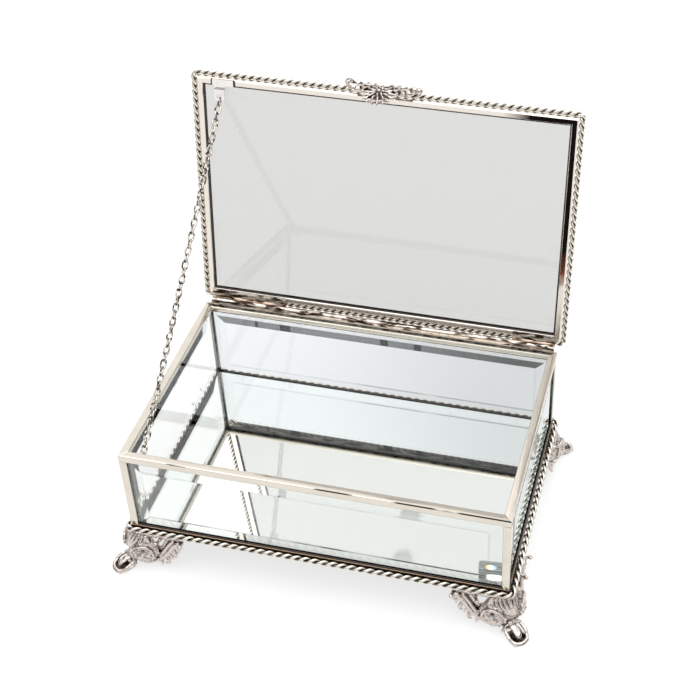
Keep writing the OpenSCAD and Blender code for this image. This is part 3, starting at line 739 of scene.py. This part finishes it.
def cast(clay, name):
    """Fuses the lumps of clay into one skin."""
    ball = bmesh.new()
    bmesh.ops.create_icosphere(ball, subdivisions=2, radius=1)
    places = np.array([vert.co for vert in ball.verts])
    corners = np.array([[vert.index for vert in face.verts] for face in ball.faces])
    ball.free()
    eggs = np.array(clay)
    verts = np.einsum("nij,vj->nvi", eggs[:, :3, :3], places) + eggs[:, None, :3, 3]
    faces = corners[None] + len(places) * np.arange(len(clay))[:, None, None]
    rough = bpy.data.meshes.new(name + "_clay")
    rough.from_pydata(verts.reshape(-1, 3), [], faces.reshape(-1, 3))
    piece = bpy.data.objects.new(name, rough)
    bpy.context.scene.collection.objects.link(piece)
    fuse = piece.modifiers.new("fuse", "REMESH")
    fuse.mode = "VOXEL"
    fuse.voxel_size = CAST_VOXEL_MM
    ease = piece.modifiers.new("ease", "SMOOTH")
    ease.factor = 0.5
    ease.iterations = 3
    ready = piece.evaluated_get(bpy.context.evaluated_depsgraph_get())
    skin = bpy.data.meshes.new_from_object(ready)
    bpy.data.objects.remove(piece)
    bpy.data.meshes.remove(rough)
    skin.name = name
    return skin


def mark_hollows(skin, rounds, depth_mm, flat_mark):
    """Stores how deep each point lies in a hollow: 0 on a ridge, flat_mark on a flat, 1 in a crevice."""
    count = len(skin.vertices)
    places, normals, ends = np.empty(count * 3), np.empty(count * 3), np.empty(len(skin.edges) * 2, int)
    skin.vertices.foreach_get("co", places)
    skin.vertices.foreach_get("normal", normals)
    skin.edges.foreach_get("vertices", ends)
    places, normals = places.reshape(-1, 3), normals.reshape(-1, 3)
    a, b = ends.reshape(-1, 2).T
    links = np.maximum(1, np.bincount(a, minlength=count) + np.bincount(b, minlength=count))
    eased = places.copy()
    for _ in range(rounds):
        total = [np.bincount(a, eased[b, k], count) + np.bincount(b, eased[a, k], count) for k in range(3)]
        eased = np.stack(total, 1) / links[:, None]
    depth = ((eased - places) * normals).sum(1) / depth_mm
    hollow = np.clip(flat_mark + 0.5 * depth, 0, 1)
    skin.attributes.new("hollow", "FLOAT", "POINT").data.foreach_set("value", hollow)


# Plated zinc casting: the plate is soft and satiny where the casting is grainy, bright where the wheel
# reached the ridges, and brown-black in the crevices, partly toning and partly painted shade.
cast_plate, tree = new_material("plated zinc casting")
place = add(tree, "TexCoord")
carved = add(tree, "Attribute", attribute_name="hollow")
grain = add(tree, "TexNoise", {"Vector": place.outputs["Object"], "Scale": 1 / (0.9 * MM), "Detail": 2.0})
stain = add(tree, "TexNoise", {"Vector": place.outputs["Object"], "Scale": 1 / (5 * MM), "Detail": 3.0})
deep = add(tree, "MapRange", {"Value": carved.outputs["Fac"], "From Min": 0.5, "From Max": 0.74})
patchy = add(tree, "MapRange", {
    "Value": stain, "From Min": 0.3, "From Max": 0.7, "To Min": 0.6, "To Max": 1.2,
})
crevice = add(tree, "Math", {0: deep, 1: patchy}, operation="MULTIPLY", use_clamp=True)
speck = add(tree, "MapRange", {"Value": grain, "From Min": 0.55, "From Max": 0.66, "To Max": 0.62})
flat = add(tree, "MapRange", {"Value": carved.outputs["Fac"], "From Min": 0.38, "From Max": 0.52})
pitted = add(tree, "Math", {0: speck, 1: flat}, operation="MULTIPLY")
# toning and painted shade in the crevices, with grain specks on the flats
toning_and_shade = add(tree, "Math", {0: crevice, 1: pitted}, operation="MAXIMUM")
shade = add(tree, "MixRGB", {"Fac": toning_and_shade, "Color1": tone("#CCC2BB"), "Color2": tone("#1B1511")})
dull = add(tree, "MapRange", {
    "Value": carved.outputs["Fac"], "From Min": 0.2, "From Max": 0.8, "To Min": 0.10, "To Max": 0.38,
})
pits = add(tree, "Bump", {"Height": grain, "Strength": 0.5, "Distance": 0.25 * MM})
casting = add(tree, "BsdfPrincipled", {
    "Base Color": shade, "Metallic": 1.0, "Roughness": dull, "Normal": pits,
})
add(tree, "OutputMaterial", {"Surface": casting})

foot_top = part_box("front_left_foot")[1].z / MM
left_side, right_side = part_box("left_top_rail")[0].x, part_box("right_top_rail")[1].x
toe_end = (left_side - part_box("front_left_foot")[0].x) / MM * math.sqrt(2)


def on_wing(u, v, w):
    """A point of a wing: u along the body from the corner, v down from the top, w out from its face.
    Nearer the corner than the knee's axis the wing bends round the knee, which swells outwards."""
    if u >= KNEE_MM:
        return Vector((u, -WING_SEAT_MM - w, foot_top + v))
    angle = (KNEE_MM - u) / KNEE_TURN_MM
    belly = math.sin(math.pi * min(1, (0.6 - v) / WING_TALL_MM)) ** 0.7
    swell = KNEE_SWELL_MM * math.sin(2 * angle) * belly
    out = KNEE_MM + WING_SEAT_MM + swell + w
    return Vector((KNEE_MM - out * math.sin(angle), KNEE_MM - out * math.cos(angle), foot_top + v))


WING_STROKES = [
    # the bar under the rope
    [(27.6, -1.4, -1.0, 1.2), (20, -1.3, -1.2, 1.2), (10, -1.3, -1.4, 1.3), (2, -1.5, -1.4, 1.4)],
    # the outer scroll, from the tip at the rope down to the lobe, and a second ridge inside it
    [(28.0, -2.0, 0.6, 1.2), (25.6, -3.0, 0.8, 1.4), (22.8, -6.0, 0.6, 1.5), (20.0, -10.2, 0.6, 1.6),
     (16.6, -14.2, 0.8, 1.7), (12.4, -17.4, 0.6, 1.6), (7.0, -19.6, 0.4, 1.5)],
    [(22.8, -2.2, 0.5, 0.9), (20.2, -5.4, 0.9, 1.0), (17.4, -9.8, 1.2, 1.0), (15.0, -13.0, 1.3, 0.9)],
    # leaf tips on its lower edge, some hooked back
    [(26.6, -2.8, 0.6, 1.2), (27.8, -4.2, 1.4, 0.9), (27.2, -5.6, 1.8, 0.55)],
    [(24.2, -4.6, 0.6, 1.3), (26.0, -6.4, 1.2, 1.0), (26.2, -8.0, 1.6, 0.5)],
    [(21.6, -8.0, 0.6, 1.5), (24.0, -9.2, 1.4, 1.2), (24.2, -11.2, 2.0, 0.9), (22.8, -11.4, 2.2, 0.6)],
    [(19.6, -11.2, 0.6, 1.3), (21.4, -12.8, 1.0, 0.9), (22.0, -14.2, 1.4, 0.5)],
    [(17.2, -14.0, 0.6, 1.6), (19.6, -15.2, 1.2, 1.2), (19.4, -17.4, 1.6, 0.8), (18.0, -17.6, 1.8, 0.5)],
    [(13.6, -17.0, 0.6, 1.3), (15.6, -18.6, 0.9, 0.9), (15.4, -20.2, 1.2, 0.5)],
    # the inner branch beside the window, and the curls that stand out over the rope
    [(8.0, -1.8, 0.2, 1.3), (9.2, -4.6, 0.6, 1.2), (11.2, -8.0, 0.8, 1.2), (13.6, -11.8, 0.9, 1.2)],
    [(27.8, -1.6, 1.2, 0.9), (28.4, -1.2, 2.8, 0.9), (28.2, -0.9, 4.0, 1.2)],
    [(16.4, -1.6, 0.6, 0.9), (15.6, -1.8, 2.6, 0.9), (15.0, -1.4, 4.2, 1.1)],
]
# The shell-like lobe low on each wing: its middle, half sizes and how far it stands out
LOBE_MIDDLE = (7.6, -11.4)
LOBE_HALF = (6.8, 7.2)
LOBE_RISE = 5.4


def in_web(u, v):
    """Whether the web behind the scrolls covers a point of the wing: it is open at the window."""
    edge = 27.5 + (v + 2) * 0.85 if v > -8 else 22.5 + (v + 8) * 1.12
    window = -10.6 < v < -1.9 and 9.4 - (v + 1.9) * 0.47 < u < 19.4 + (v + 1.9) * 0.54
    return u < edge and not window


def scoop_height(a):
    """The height of the toe's scoop, a millimetres out along the foot's diagonal."""
    return max(0.7, 2.4 - 0.24 * a)


def model_foot():
    """The casting of one foot, in millimetres from the corner of the frame above it."""
    clay = []
    for swap in (False, True):
        def put(u, v, w):
            point = on_wing(u, v, w)
            return Vector((point.y, point.x, point.z)) if swap else point

        for stroke in WING_STROKES:
            roll(clay, stroke, put)
        for i in range(40):
            for j in range(28):
                u, v = -1 + WEB_STEP_MM * i, -0.9 - WEB_STEP_MM * j
                if in_web(u, v):
                    lump(clay, put(u, v, -1.0), (0.9, 0.9, 0.9))
        # the lobe: a dome with a hollow in its upper half and beads over its lower one
        for i in range(-9, 10):
            for j in range(-9, 10):
                across, rise = i / 9, j / 9
                out = math.hypot(across, rise)
                if out > 1:
                    continue
                dip = 2.6 * max(0, 1 - math.hypot(across + 0.05, rise - 0.32) / 0.5)
                dome = LOBE_RISE * (1 - out * out) ** 0.6 - 1.0 - dip
                u, v = LOBE_MIDDLE[0] + across * LOBE_HALF[0], LOBE_MIDDLE[1] + rise * LOBE_HALF[1]
                place = put(u, v, dome)
                lump(clay, place, (0.95, 0.95, 0.95))
                if rise < 0.05 and (i + j) % 3 == 0 and i % 2 == 0:
                    outwards = (place - put(*LOBE_MIDDLE, -3)).normalized()
                    lump(clay, place + outwards * 0.75, (0.7, 0.7, 0.7))
        # its rim: each point's direction and thickness
        arch = []
        for turned, r in ((195, 0.6), (160, 0.85), (120, 0.7), (80, 0.9), (40, 0.65), (0, 0.8), (-30, 0.6)):
            angle = math.radians(turned)
            u = LOBE_MIDDLE[0] + 0.72 * LOBE_HALF[0] * math.cos(angle)
            v = LOBE_MIDDLE[1] + 0.78 * LOBE_HALF[1] * math.sin(angle)
            arch.append((u, v, LOBE_RISE * 0.72, r))
        roll(clay, arch, put)
        # leaf ribs that sweep from the rope over the lobe's shoulder to the ankle
        for k in range(5):
            head = 7.6 - 1.9 * k
            roll(clay, [
                (head, -2.0, 0.2, 0.8), (head - 0.5, -4.6, 0.9, 0.9), (head * 0.5 - 0.6, -9.0, 1.4, 0.95),
                (head * 0.2 - 0.6, -13.4, 1.2, 0.9), (head * 0.1 - 0.4, -18.0, 0.4, 0.8),
            ], put)
        # beads where the leaf ends over the toe
        for k in range(6):
            lump(clay, put(10.5 - 2.0 * k, -18.2 - 0.2 * k, 1.6), (1.0, 1.0, 0.9))
    # the ankle and the collar over the toe
    diagonal = Vector((-1, -1, 0)).normalized()
    side = Vector((1, -1, 0)).normalized()
    lying = Matrix((diagonal, side, (0, 0, 1))).transposed()
    for reach, height, r in ((-3.5, 14, 5.2), (-2.5, 10, 5.0), (-0.5, 7.2, 4.4), (1.5, 5.4, 3.6)):
        lump(clay, reach * diagonal + Vector((0, 0, height)), (r, r, r))
    bow = ((-5.2, 4.2), (-3.4, 6.4), (0, 7.6), (3.4, 6.4), (5.2, 4.2))
    collar = [3.2 * diagonal + s * side + Vector((0, 0, h)) for s, h in bow]
    for bead in smooth_line(collar, 0.4):
        lump(clay, bead, (1.1, 1.1, 1.1))
    # the toe: a rolled rim round a scoop, with a flat tongue down its middle
    tip = toe_end - TIP_BACK_MM
    rim = [
        (4.5, 4.8, 4.8, 1.0), (8.0, 5.1, 3.5, 1.0), (tip - 4.6, 4.5, 2.1, 1.05), (tip - 2.7, 3.3, 1.6, 1.1),
        (tip - 1.9, 1.7, 1.4, 1.15), (tip - 1.6, 0, 1.35, 1.15),
    ]
    for flip in (1, -1):
        for bead in smooth_line([(a, b * flip, c, r) for a, b, c, r in rim], 0.3):
            lump(clay, bead[0] * diagonal + bead[1] * side + Vector((0, 0, bead[2])), (bead[3],) * 3)
    tongue = ((3.0, 0, 6.6, 2.2), (7.0, 0, 5.0, 2.0), (10.0, 0, 3.5, 1.7), (tip - 5.2, 0, 2.4, 1.2))
    for bead in smooth_line(tongue, 0.4):
        lump(clay, bead[0] * diagonal + Vector((0, 0, bead[2])), (0.9, bead[3], 0.8), lying)
    for i in range(26):
        for j in range(-6, 7):
            a, b = 4 + 0.45 * i, 0.8 * j
            if a < tip - 2.2 and abs(b) < 4.8 - 0.24 * max(0, a - 10) ** 1.3:
                lump(clay, a * diagonal + b * side + Vector((0, 0, scoop_height(a))), (0.8, 0.8, 0.7))
    return cast(clay, "foot")


foot_skin = model_foot()
mark_hollows(foot_skin, 14, 0.4, 0.5)
# the scoop of the toe is painted black beside the tongue as its shade, and the rim partly where it is low
# at its tip
hollow_and_toe_shade = []
foot_points = [vertex.co.copy() for vertex in foot_skin.vertices]
for place, mark in zip(foot_points, foot_skin.attributes["hollow"].data):
    a, b = -(place.x + place.y) / math.sqrt(2), abs(place.x - place.y) / math.sqrt(2)
    scooped = 5.5 < a < toe_end - 5.6 and b < 3.9 and 1.0 < place.z < scoop_height(a) + 1.1
    rim_painted_shade = 0.66 if a > toe_end - 4.6 and place.z < 2.0 else 0.0
    hollow_and_toe_shade.append(1.0 if scooped else max(mark.value, rim_painted_shade))
foot_skin.attributes["hollow"].data.foreach_set("value", hollow_and_toe_shade)
# Cast grain, strongest low on the leaves, between the flats at the top and under the toe
GRAIN_MM = 1.1
GRAIN_DEEP_MM = 0.12
LOW_GRAIN_MM = 0.3
grained = []
for place, way in [(vertex.co.copy(), vertex.normal.copy()) for vertex in foot_skin.vertices]:
    low_share = min(1, max(0, (18 - place.z) / 8)) * min(1, max(0, (place.z - 4) / 3))
    moved = place + way * (GRAIN_DEEP_MM + LOW_GRAIN_MM * low_share) * noise.noise(place / GRAIN_MM)
    grained += [moved.x, moved.y, min(foot_top, max(0, moved.z))]
foot_skin.vertices.foreach_set("co", grained)
foot_skin.polygons.foreach_set("use_smooth", [True] * len(foot_skin.polygons))

for corner in CORNERS:
    x_way = -1 if "right" in corner else 1
    y_way = -1 if "rear" in corner else 1
    skin = foot_skin.copy()
    at = Matrix.Translation((right_side if x_way < 0 else left_side, rear_y if y_way < 0 else front_y, 0))
    skin.transform(at @ Matrix.Diagonal((x_way * MM, y_way * MM, MM, 1)))
    if x_way * y_way < 0:
        skin.flip_normals()
    foot = bpy.data.objects.new(corner + "_casting", skin)
    bpy.context.scene.collection.objects.link(foot)
    skin.materials.append(cast_plate)
    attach(foot, "box")
    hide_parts(corner + "_foot")


# Hinge: three lengths of drawn brass tube on one pin, plated with the frame. The middle one is
# soldered to the body and the outer two to the lid.
HINGE_PIECES = ("body_knuckle", "hinge_pin", "left_lid_knuckle", "right_lid_knuckle")

# Drawn tube: its polish is streaked along with brown-black, partly tarnish and partly the painted shade of
# the hinge, and bright between the streaks.
tarnish_and_shade_tube, tree = new_material("drawn tube streaked with patina and painted shade")
place = add(tree, "TexCoord")
drawn = add(tree, "Mapping", {
    "Vector": place.outputs["Object"], "Scale": (1 / (7 * MM), 1 / (2 * MM), 1 / (1.3 * MM)),
})
streak = add(tree, "TexNoise", {"Vector": drawn, "Scale": 1.0, "Detail": 3.0})
rubbed = add(tree, "MapRange", {"Value": streak, "From Min": 0.42, "From Max": 0.54})
# painted shade of the hinge with tarnish, laid in streaks
shade = add(tree, "MixRGB", {"Fac": rubbed, "Color1": tone("#362A20"), "Color2": tone("#DED2C8")})
tube = add(tree, "BsdfPrincipled", {"Base Color": shade, "Metallic": 1.0, "Roughness": 0.2})
add(tree, "OutputMaterial", {"Surface": tube})
dress(tarnish_and_shade_tube, *HINGE_PIECES)
for name in HINGE_PIECES:
    parts[name].data.polygons.foreach_set("use_smooth", [True] * len(parts[name].data.polygons))


# Lid: one bevelled pane in a mitred channel frame, open past upright on its hinge. Against the
# white room its pane reads as a pale grey.
hinge = frame["joints"][0]
open_angle = -math.radians(hinge["range_deg"][1])
open_turn = Matrix.Translation(hinge["pos_m"]) @ Matrix.Rotation(open_angle, 4, "X")
lid_rails = [f"{side}_lid_rail" for side in SIDES]
LID_TINT = "#CACAC8"
dress(float_glass("clear float glass of the lid", LID_TINT, LID_TINT)[0], "lid_glass")


def shut_box(name):
    """The lowest and highest corners of a piece of the lid, as it lies when the lid is shut."""
    shut = open_turn.inverted()
    places = [shut @ v.co for v in parts[name].data.vertices]
    return [Vector([pick(p[k] for p in places) for k in range(3)]) for pick in (min, max)]


# The channel is folded from 0.8 mm sheet. Its folds are flattened, so that they catch a bright line.
SHEET_MM = 0.8
LIP_END_MM = 0.3
LID_FOLD_MM = 0.8
front_low, front_high = shut_box("front_lid_rail")
rear_high = shut_box("rear_lid_rail")[1]
lid_half_x = (shut_box("right_lid_rail")[1].x - shut_box("left_lid_rail")[0].x) / 2
lid_half_y = (rear_high.y - front_low.y) / 2
lip = (front_high.y - front_low.y) / MM
deep = (front_high.z - front_low.z) / MM
channel = [
    (LID_FOLD_MM, 0), (0, LID_FOLD_MM), (0, deep - LID_FOLD_MM), (LID_FOLD_MM, deep),
    (lip - LIP_END_MM, deep), (lip, deep - LIP_END_MM), (lip, deep - SHEET_MM),
    (SHEET_MM, deep - SHEET_MM), (SHEET_MM, SHEET_MM), (lip, SHEET_MM), (lip, LIP_END_MM),
    (lip - LIP_END_MM, 0),
]
at = open_turn @ Matrix.Translation((0, (front_low.y + rear_high.y) / 2, front_low.z))
lid_frame = mitred_loop("lid_frame", lid_half_x, lid_half_y, channel, at)

# Polished plate as on the body, with a black band painted on its inner face at the right, which turns brown
# where it ends: a painted reflection of the dark that the lid pane's bevel shows there.
lid_plate_with_painted_dark, tree = new_material("silver plate with a painted dark band")
place = add(tree, "TexCoord")
split = add(tree, "SeparateXYZ", {"Vector": place.outputs["Object"]})
inner_way = open_turn.to_3x3() @ Vector((0, 0, -1))
inner = add(tree, "VectorMath", {0: place.outputs["Normal"], 1: inner_way}, operation="DOT_PRODUCT")
facing = add(tree, "MapRange", {"Value": inner.outputs["Value"], "From Min": 0.93, "From Max": 0.97})
ragged = add(tree, "TexNoise", {"Vector": place.outputs["Object"], "Scale": 1 / (14 * MM), "Detail": 3.0})
wander = add(tree, "Math", {0: ragged, 1: 30 * MM, 2: split.outputs["Z"]}, operation="MULTIPLY_ADD")
right_end = add(tree, "MapRange", {"Value": split.outputs["X"], "From Min": 62 * MM, "From Max": 76 * MM})
high = add(tree, "MapRange", {"Value": wander, "From Min": 122 * MM, "From Max": 130 * MM})
spread = add(tree, "Math", {0: right_end, 1: high}, operation="MULTIPLY")
# painted reflection: black on the inner face at the right
black = add(tree, "Math", {0: spread, 1: facing}, operation="MULTIPLY")
browner = add(tree, "MapRange", {"Value": wander, "From Min": 130 * MM, "From Max": 150 * MM})
painted_dark_band = add(tree, "MixRGB", {"Fac": browner, "Color1": tone("#7A4630"), "Color2": tone("#15100E")})
shade = add(tree, "MixRGB", {"Fac": black, "Color1": tone("#DDD5CC"), "Color2": painted_dark_band})
dull = add(tree, "MapRange", {
    "Value": ragged, "From Min": 0.3, "From Max": 0.75, "To Min": 0.09, "To Max": 0.2,
})
plate = add(tree, "BsdfPrincipled", {"Base Color": shade, "Metallic": 1.0, "Roughness": dull})
add(tree, "OutputMaterial", {"Surface": plate})
lid_frame.data.materials.append(lid_plate_with_painted_dark)
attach(lid_frame, "lid")
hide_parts(*lid_rails)

# The lid's pane is bedded in the same putty, on both faces beside the channel's lips.
PUTTY_MM = 0.75
# Each fillet's foot on the glass and its top against the lip
seals = {"under": (SHEET_MM + 0.06, 0.3), "upper": (deep - SHEET_MM - 0.06, deep - 0.3)}
for face, (foot_b, top_b) in seals.items():
    waist_b = (foot_b + top_b) / 2
    fillet = (
        (lip + 0.02, foot_b), (lip + PUTTY_MM, foot_b), (lip + 0.3, waist_b), (lip + 0.02, top_b),
    )
    seal = mitred_loop(f"lid_bedding_{face}", lid_half_x, lid_half_y, fillet, at)
    seal.data.materials.append(putty)
    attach(seal, "lid")

# The lid's rope edge is the finer of the two.
low, high = shut_box("front_lid_rope")
lid_rope_r = (high.z - low.z) / 2
left_x, right_x = low.x + lid_rope_r, high.x - lid_rope_r
near_y, far_y = low.y + lid_rope_r, shut_box("rear_lid_rope")[1].y - lid_rope_r
LID_PITCH_MM = 8.3
LID_STRAND_SHARE = 0.5
at = open_turn @ Matrix.Translation(((left_x + right_x) / 2, (near_y + far_y) / 2, (low.z + high.z) / 2))
lid_rope = twisted_rope(
    "lid_rope", (right_x - left_x) / 2, (far_y - near_y) / 2, lid_rope_r, LID_PITCH_MM * MM, at,
    LID_STRAND_SHARE,
)
lid_rope.data.materials.append(rope_wire)
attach(lid_rope, "lid")
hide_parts(*[f"{side}_lid_rope" for side in SIDES])


# Thumb piece: a small zinc casting of a flower between two leaf sprays, plated and soldered to the
# front of the lid's rope edge. A finger lifts the lid by it.
def model_thumb_piece():
    """The casting, in millimetres: x along the lid, y out from it and z up through its thickness."""
    clay = []
    # the flower: a button in three rings of petals, which leans back towards its foot
    flower = -9.2

    def lean(x, y, z):
        return Vector((x, y - 0.18 * max(0, -4 - z), z))

    lump(clay, lean(0, 3.6, flower), (1.1, 1.1, 1.1))
    lump(clay, lean(0, 1.0, flower - 0.6), (6.6, 1.0, 7.6))
    # each ring: its petals, its radius, a petal's half sizes, how far out it stands and its turn
    rings = (
        (17, 6.0, (2.8, 1.3, 0.75), 1.5, 0), (12, 4.0, (2.0, 1.1, 0.6), 2.6, 10),
        (8, 2.3, (1.1, 0.9, 0.5), 3.4, 0),
    )
    for petals, reach, size, out, turn in rings:
        for k in range(petals):
            angle = math.radians(90 + turn + 360 / petals * k)
            turned = Matrix.Rotation(-angle, 3, "Y")
            petal = lean(reach * math.cos(angle), out, flower + 1.25 * reach * math.sin(angle))
            lump(clay, petal, size, turned)
    for side in (-1, 1):
        def put(x, y, z):
            return Vector((side * x, y - 0.4, z - 1.6))

        # the stem, which swings up and down to its end
        roll(clay, [
            (0, 1.4, -1.2, 1.5), (5, 1.5, -0.2, 1.5), (10, 1.5, -1.2, 1.4), (14, 1.5, -0.6, 1.3),
            (16.6, 1.6, -1.0, 1.1),
        ], put)
        # leaves along it, each with a raised vein
        for x, z, tilt, length in (
            (3.8, 1.6, 66, 2.9), (7.4, 1.6, 50, 3.1), (11.0, 1.2, 40, 2.9), (14.2, 1.0, 30, 2.1),
            (7.6, -4.2, -52, 3.3), (10.8, -4.0, -40, 3.2), (13.8, -3.4, -26, 2.6),
        ):
            turned = Matrix.Rotation(-math.radians(tilt if side > 0 else 180 - tilt), 3, "Y")
            lump(clay, put(x, 1.5, z), (length, 1.4, 1.3), turned)
            lump(clay, put(x, 2.7, z), (length * 0.85, 0.75, 0.35), turned)
        # a scroll on each side of the flower
        roll(clay, [
            (6.2, 2.8, -0.8, 0.8), (8.8, 3.2, -2.2, 0.8), (9.4, 3.2, -4.6, 0.7), (7.8, 3.2, -6.0, 0.6),
            (6.8, 3.2, -4.8, 0.5),
        ], put)
    # one end is two balls and the other a bud with a curled edge
    lump(clay, (16.6, 2.2, -2.2), (1.6, 1.6, 1.6))
    lump(clay, (19.2, 1.9, -2.2), (1.9, 1.9, 1.9))
    lump(clay, (-17.6, 1.9, -1.0), (2.3, 1.9, 2.2))
    curl = [
        (-15.6, 2.6, 0.6, 0.6), (-18.0, 3.2, 1.0, 0.7), (-19.4, 3.0, -0.8, 0.7), (-18.6, 3.0, -2.8, 0.6),
        (-17.0, 3.6, -1.8, 0.6),
    ]
    roll(clay, curl, lambda *place: Vector(place))
    return cast(clay, "thumb")


thumb_skin = model_thumb_piece()
mark_hollows(thumb_skin, 12, 0.18, 0.64)
thumb_skin.polygons.foreach_set("use_smooth", [True] * len(thumb_skin.polygons))
rope_low, rope_high = shut_box("front_lid_rope")
SOLDER_MM = 0.05
at = open_turn @ Matrix.Translation((0, rope_low.y - SOLDER_MM * MM, (rope_low.z + rope_high.z) / 2))
thumb_skin.transform(at @ Matrix.Diagonal((MM, -MM, MM, 1)))
thumb_skin.flip_normals()
thumb = bpy.data.objects.new("thumb_casting", thumb_skin)
bpy.context.scene.collection.objects.link(thumb)
thumb_skin.materials.append(cast_plate)
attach(thumb, "lid")
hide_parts("thumb_piece")


# Stay chain: 50 soldered wire links from a lug inside the front rail to a tab under the lid's front rail.
# It holds the lid open, and on the box sinks into it as the lid comes down; here it is built only as it
# hangs with the lid open.
CHAIN_WIRE_MM = 0.95
WIRE_SIDES = 8
LINK_WIDE_MM = 3.6
LINK_PLAY_MM = 0.16
LINKS = 50
CHAIN_SAG_MM = 1.6
CHAIN_TWIST_DEG = 45
LUG_REACH_MM = 2.3
LUG_SLACK_MM = 0.425
TAB_RIM_MM = 1.25
TAB_SHEET_MM = 0.7
STRIP_SHIFT_MM = 1.5
dress(plated_sheet, "chain_lug")

# The tab's strip is plated sheet, dark near both its ends.
cut_sheet, tree = new_material("plated sheet with dark cut ends")
tab_left, tab_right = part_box("chain_tab")[0].x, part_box("chain_tab")[1].x
place = add(tree, "TexCoord")
split = add(tree, "SeparateXYZ", {"Vector": place.outputs["Object"]})
aside = add(tree, "Math", {0: split.outputs["X"], 1: -(tab_left + tab_right) / 2}, operation="ADD")
size = add(tree, "Math", {0: aside}, operation="ABSOLUTE")
cut = add(tree, "MapRange", {
    "Value": size, "From Min": (tab_right - tab_left) / 2 - 0.9 * MM,
    "From Max": (tab_right - tab_left) / 2 - 0.6 * MM,
})
wiped = add(tree, "TexNoise", {"Vector": place.outputs["Object"], "Scale": 1 / (3 * MM), "Detail": 2.0})
bright = add(tree, "MixRGB", {"Fac": wiped, "Color1": tone("#EDEAE8"), "Color2": tone("#D2CDCA")})
shade = add(tree, "MixRGB", {"Fac": cut, "Color1": bright, "Color2": tone("#2A2320")})
tab_shader = add(tree, "BsdfPrincipled", {"Base Color": shade, "Metallic": 1.0, "Roughness": 0.14})
add(tree, "OutputMaterial", {"Surface": tab_shader})
dress(cut_sheet, "chain_tab")

lug_low, lug_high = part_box("chain_lug")
lug_hole = (lug_low + lug_high) / 2
lug_hole.y = lug_high.y - LUG_REACH_MM * MM
tab_low, tab_high = shut_box("chain_tab")
tab_hook = open_turn @ Vector((
    (tab_low.x + tab_high.x) / 2 - STRIP_SHIFT_MM * MM, tab_high.y - TAB_RIM_MM / 2 * MM,
    tab_low.z + TAB_SHEET_MM / 2 * MM,
))
run = tab_hook - lug_hole
wire_r = CHAIN_WIRE_MM / 2 * MM
link_bend = (LINK_WIDE_MM - CHAIN_WIRE_MM) / 2 * MM
wire_run = run.length - (LUG_SLACK_MM + LINK_PLAY_MM + CHAIN_WIRE_MM) * MM + link_bend
link_pitch = wire_run / LINKS
link_half = (link_pitch + (LINK_PLAY_MM + CHAIN_WIRE_MM) * MM) / 2


def chain_point(along):
    """A point of the chain at a distance from the lug, with its slight sag."""
    t = along / run.length
    return lug_hole + run * t - Vector((0, 0, 4 * CHAIN_SAG_MM * MM * t * (1 - t)))


outline = []
for end in (1, -1):
    for i in range(9):
        angle = -math.pi / 2 + math.pi * i / 8
        reach = link_half - link_bend + link_bend * math.cos(angle)
        outline.append(end * Vector((reach, link_bend * math.sin(angle), 0)))
verts, faces = [], []
for i in range(LINKS):
    along = LUG_SLACK_MM * MM + link_half + i * link_pitch
    ahead = (chain_point(along + MM) - chain_point(along - MM)).normalized()
    wide = Vector((0, 0, 1)).cross(ahead).normalized()
    tall = ahead.cross(wide)
    twist = math.radians(min(1, i / 5, (LINKS - 1 - i) / 5) * CHAIN_TWIST_DEG + 90 * (i % 2))
    more, less = math.cos(twist), math.sin(twist)
    wide, tall = more * wide + less * tall, more * tall - less * wide
    set_way = Matrix((ahead, wide, tall)).transposed()
    line = [chain_point(along) + set_way @ point for point in outline]
    sweep(verts, faces, line, [tall] * len(line), wire_r, WIRE_SIDES)
chain = mesh_object("stay_chain_links", verts, faces)

# Chain wire: bright plate on round wire, with a little grime where the links rub.
chain_wire, tree = new_material("plated chain wire")
place = add(tree, "TexCoord")
rub = add(tree, "TexNoise", {"Vector": place.outputs["Object"], "Scale": 1 / (1.8 * MM), "Detail": 2.0})
grime = add(tree, "MapRange", {"Value": rub, "From Min": 0.46, "From Max": 0.6})
shade = add(tree, "MixRGB", {"Fac": grime, "Color1": tone("#E2DBD1"), "Color2": tone("#4A423B")})
dull = add(tree, "MapRange", {"Value": rub, "To Min": 0.08, "To Max": 0.3})
link_shader = add(tree, "BsdfPrincipled", {"Base Color": shade, "Metallic": 1.0, "Roughness": dull})
add(tree, "OutputMaterial", {"Surface": link_shader})
chain.data.materials.append(chain_wire)
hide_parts("stay_chain")
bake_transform(chain)
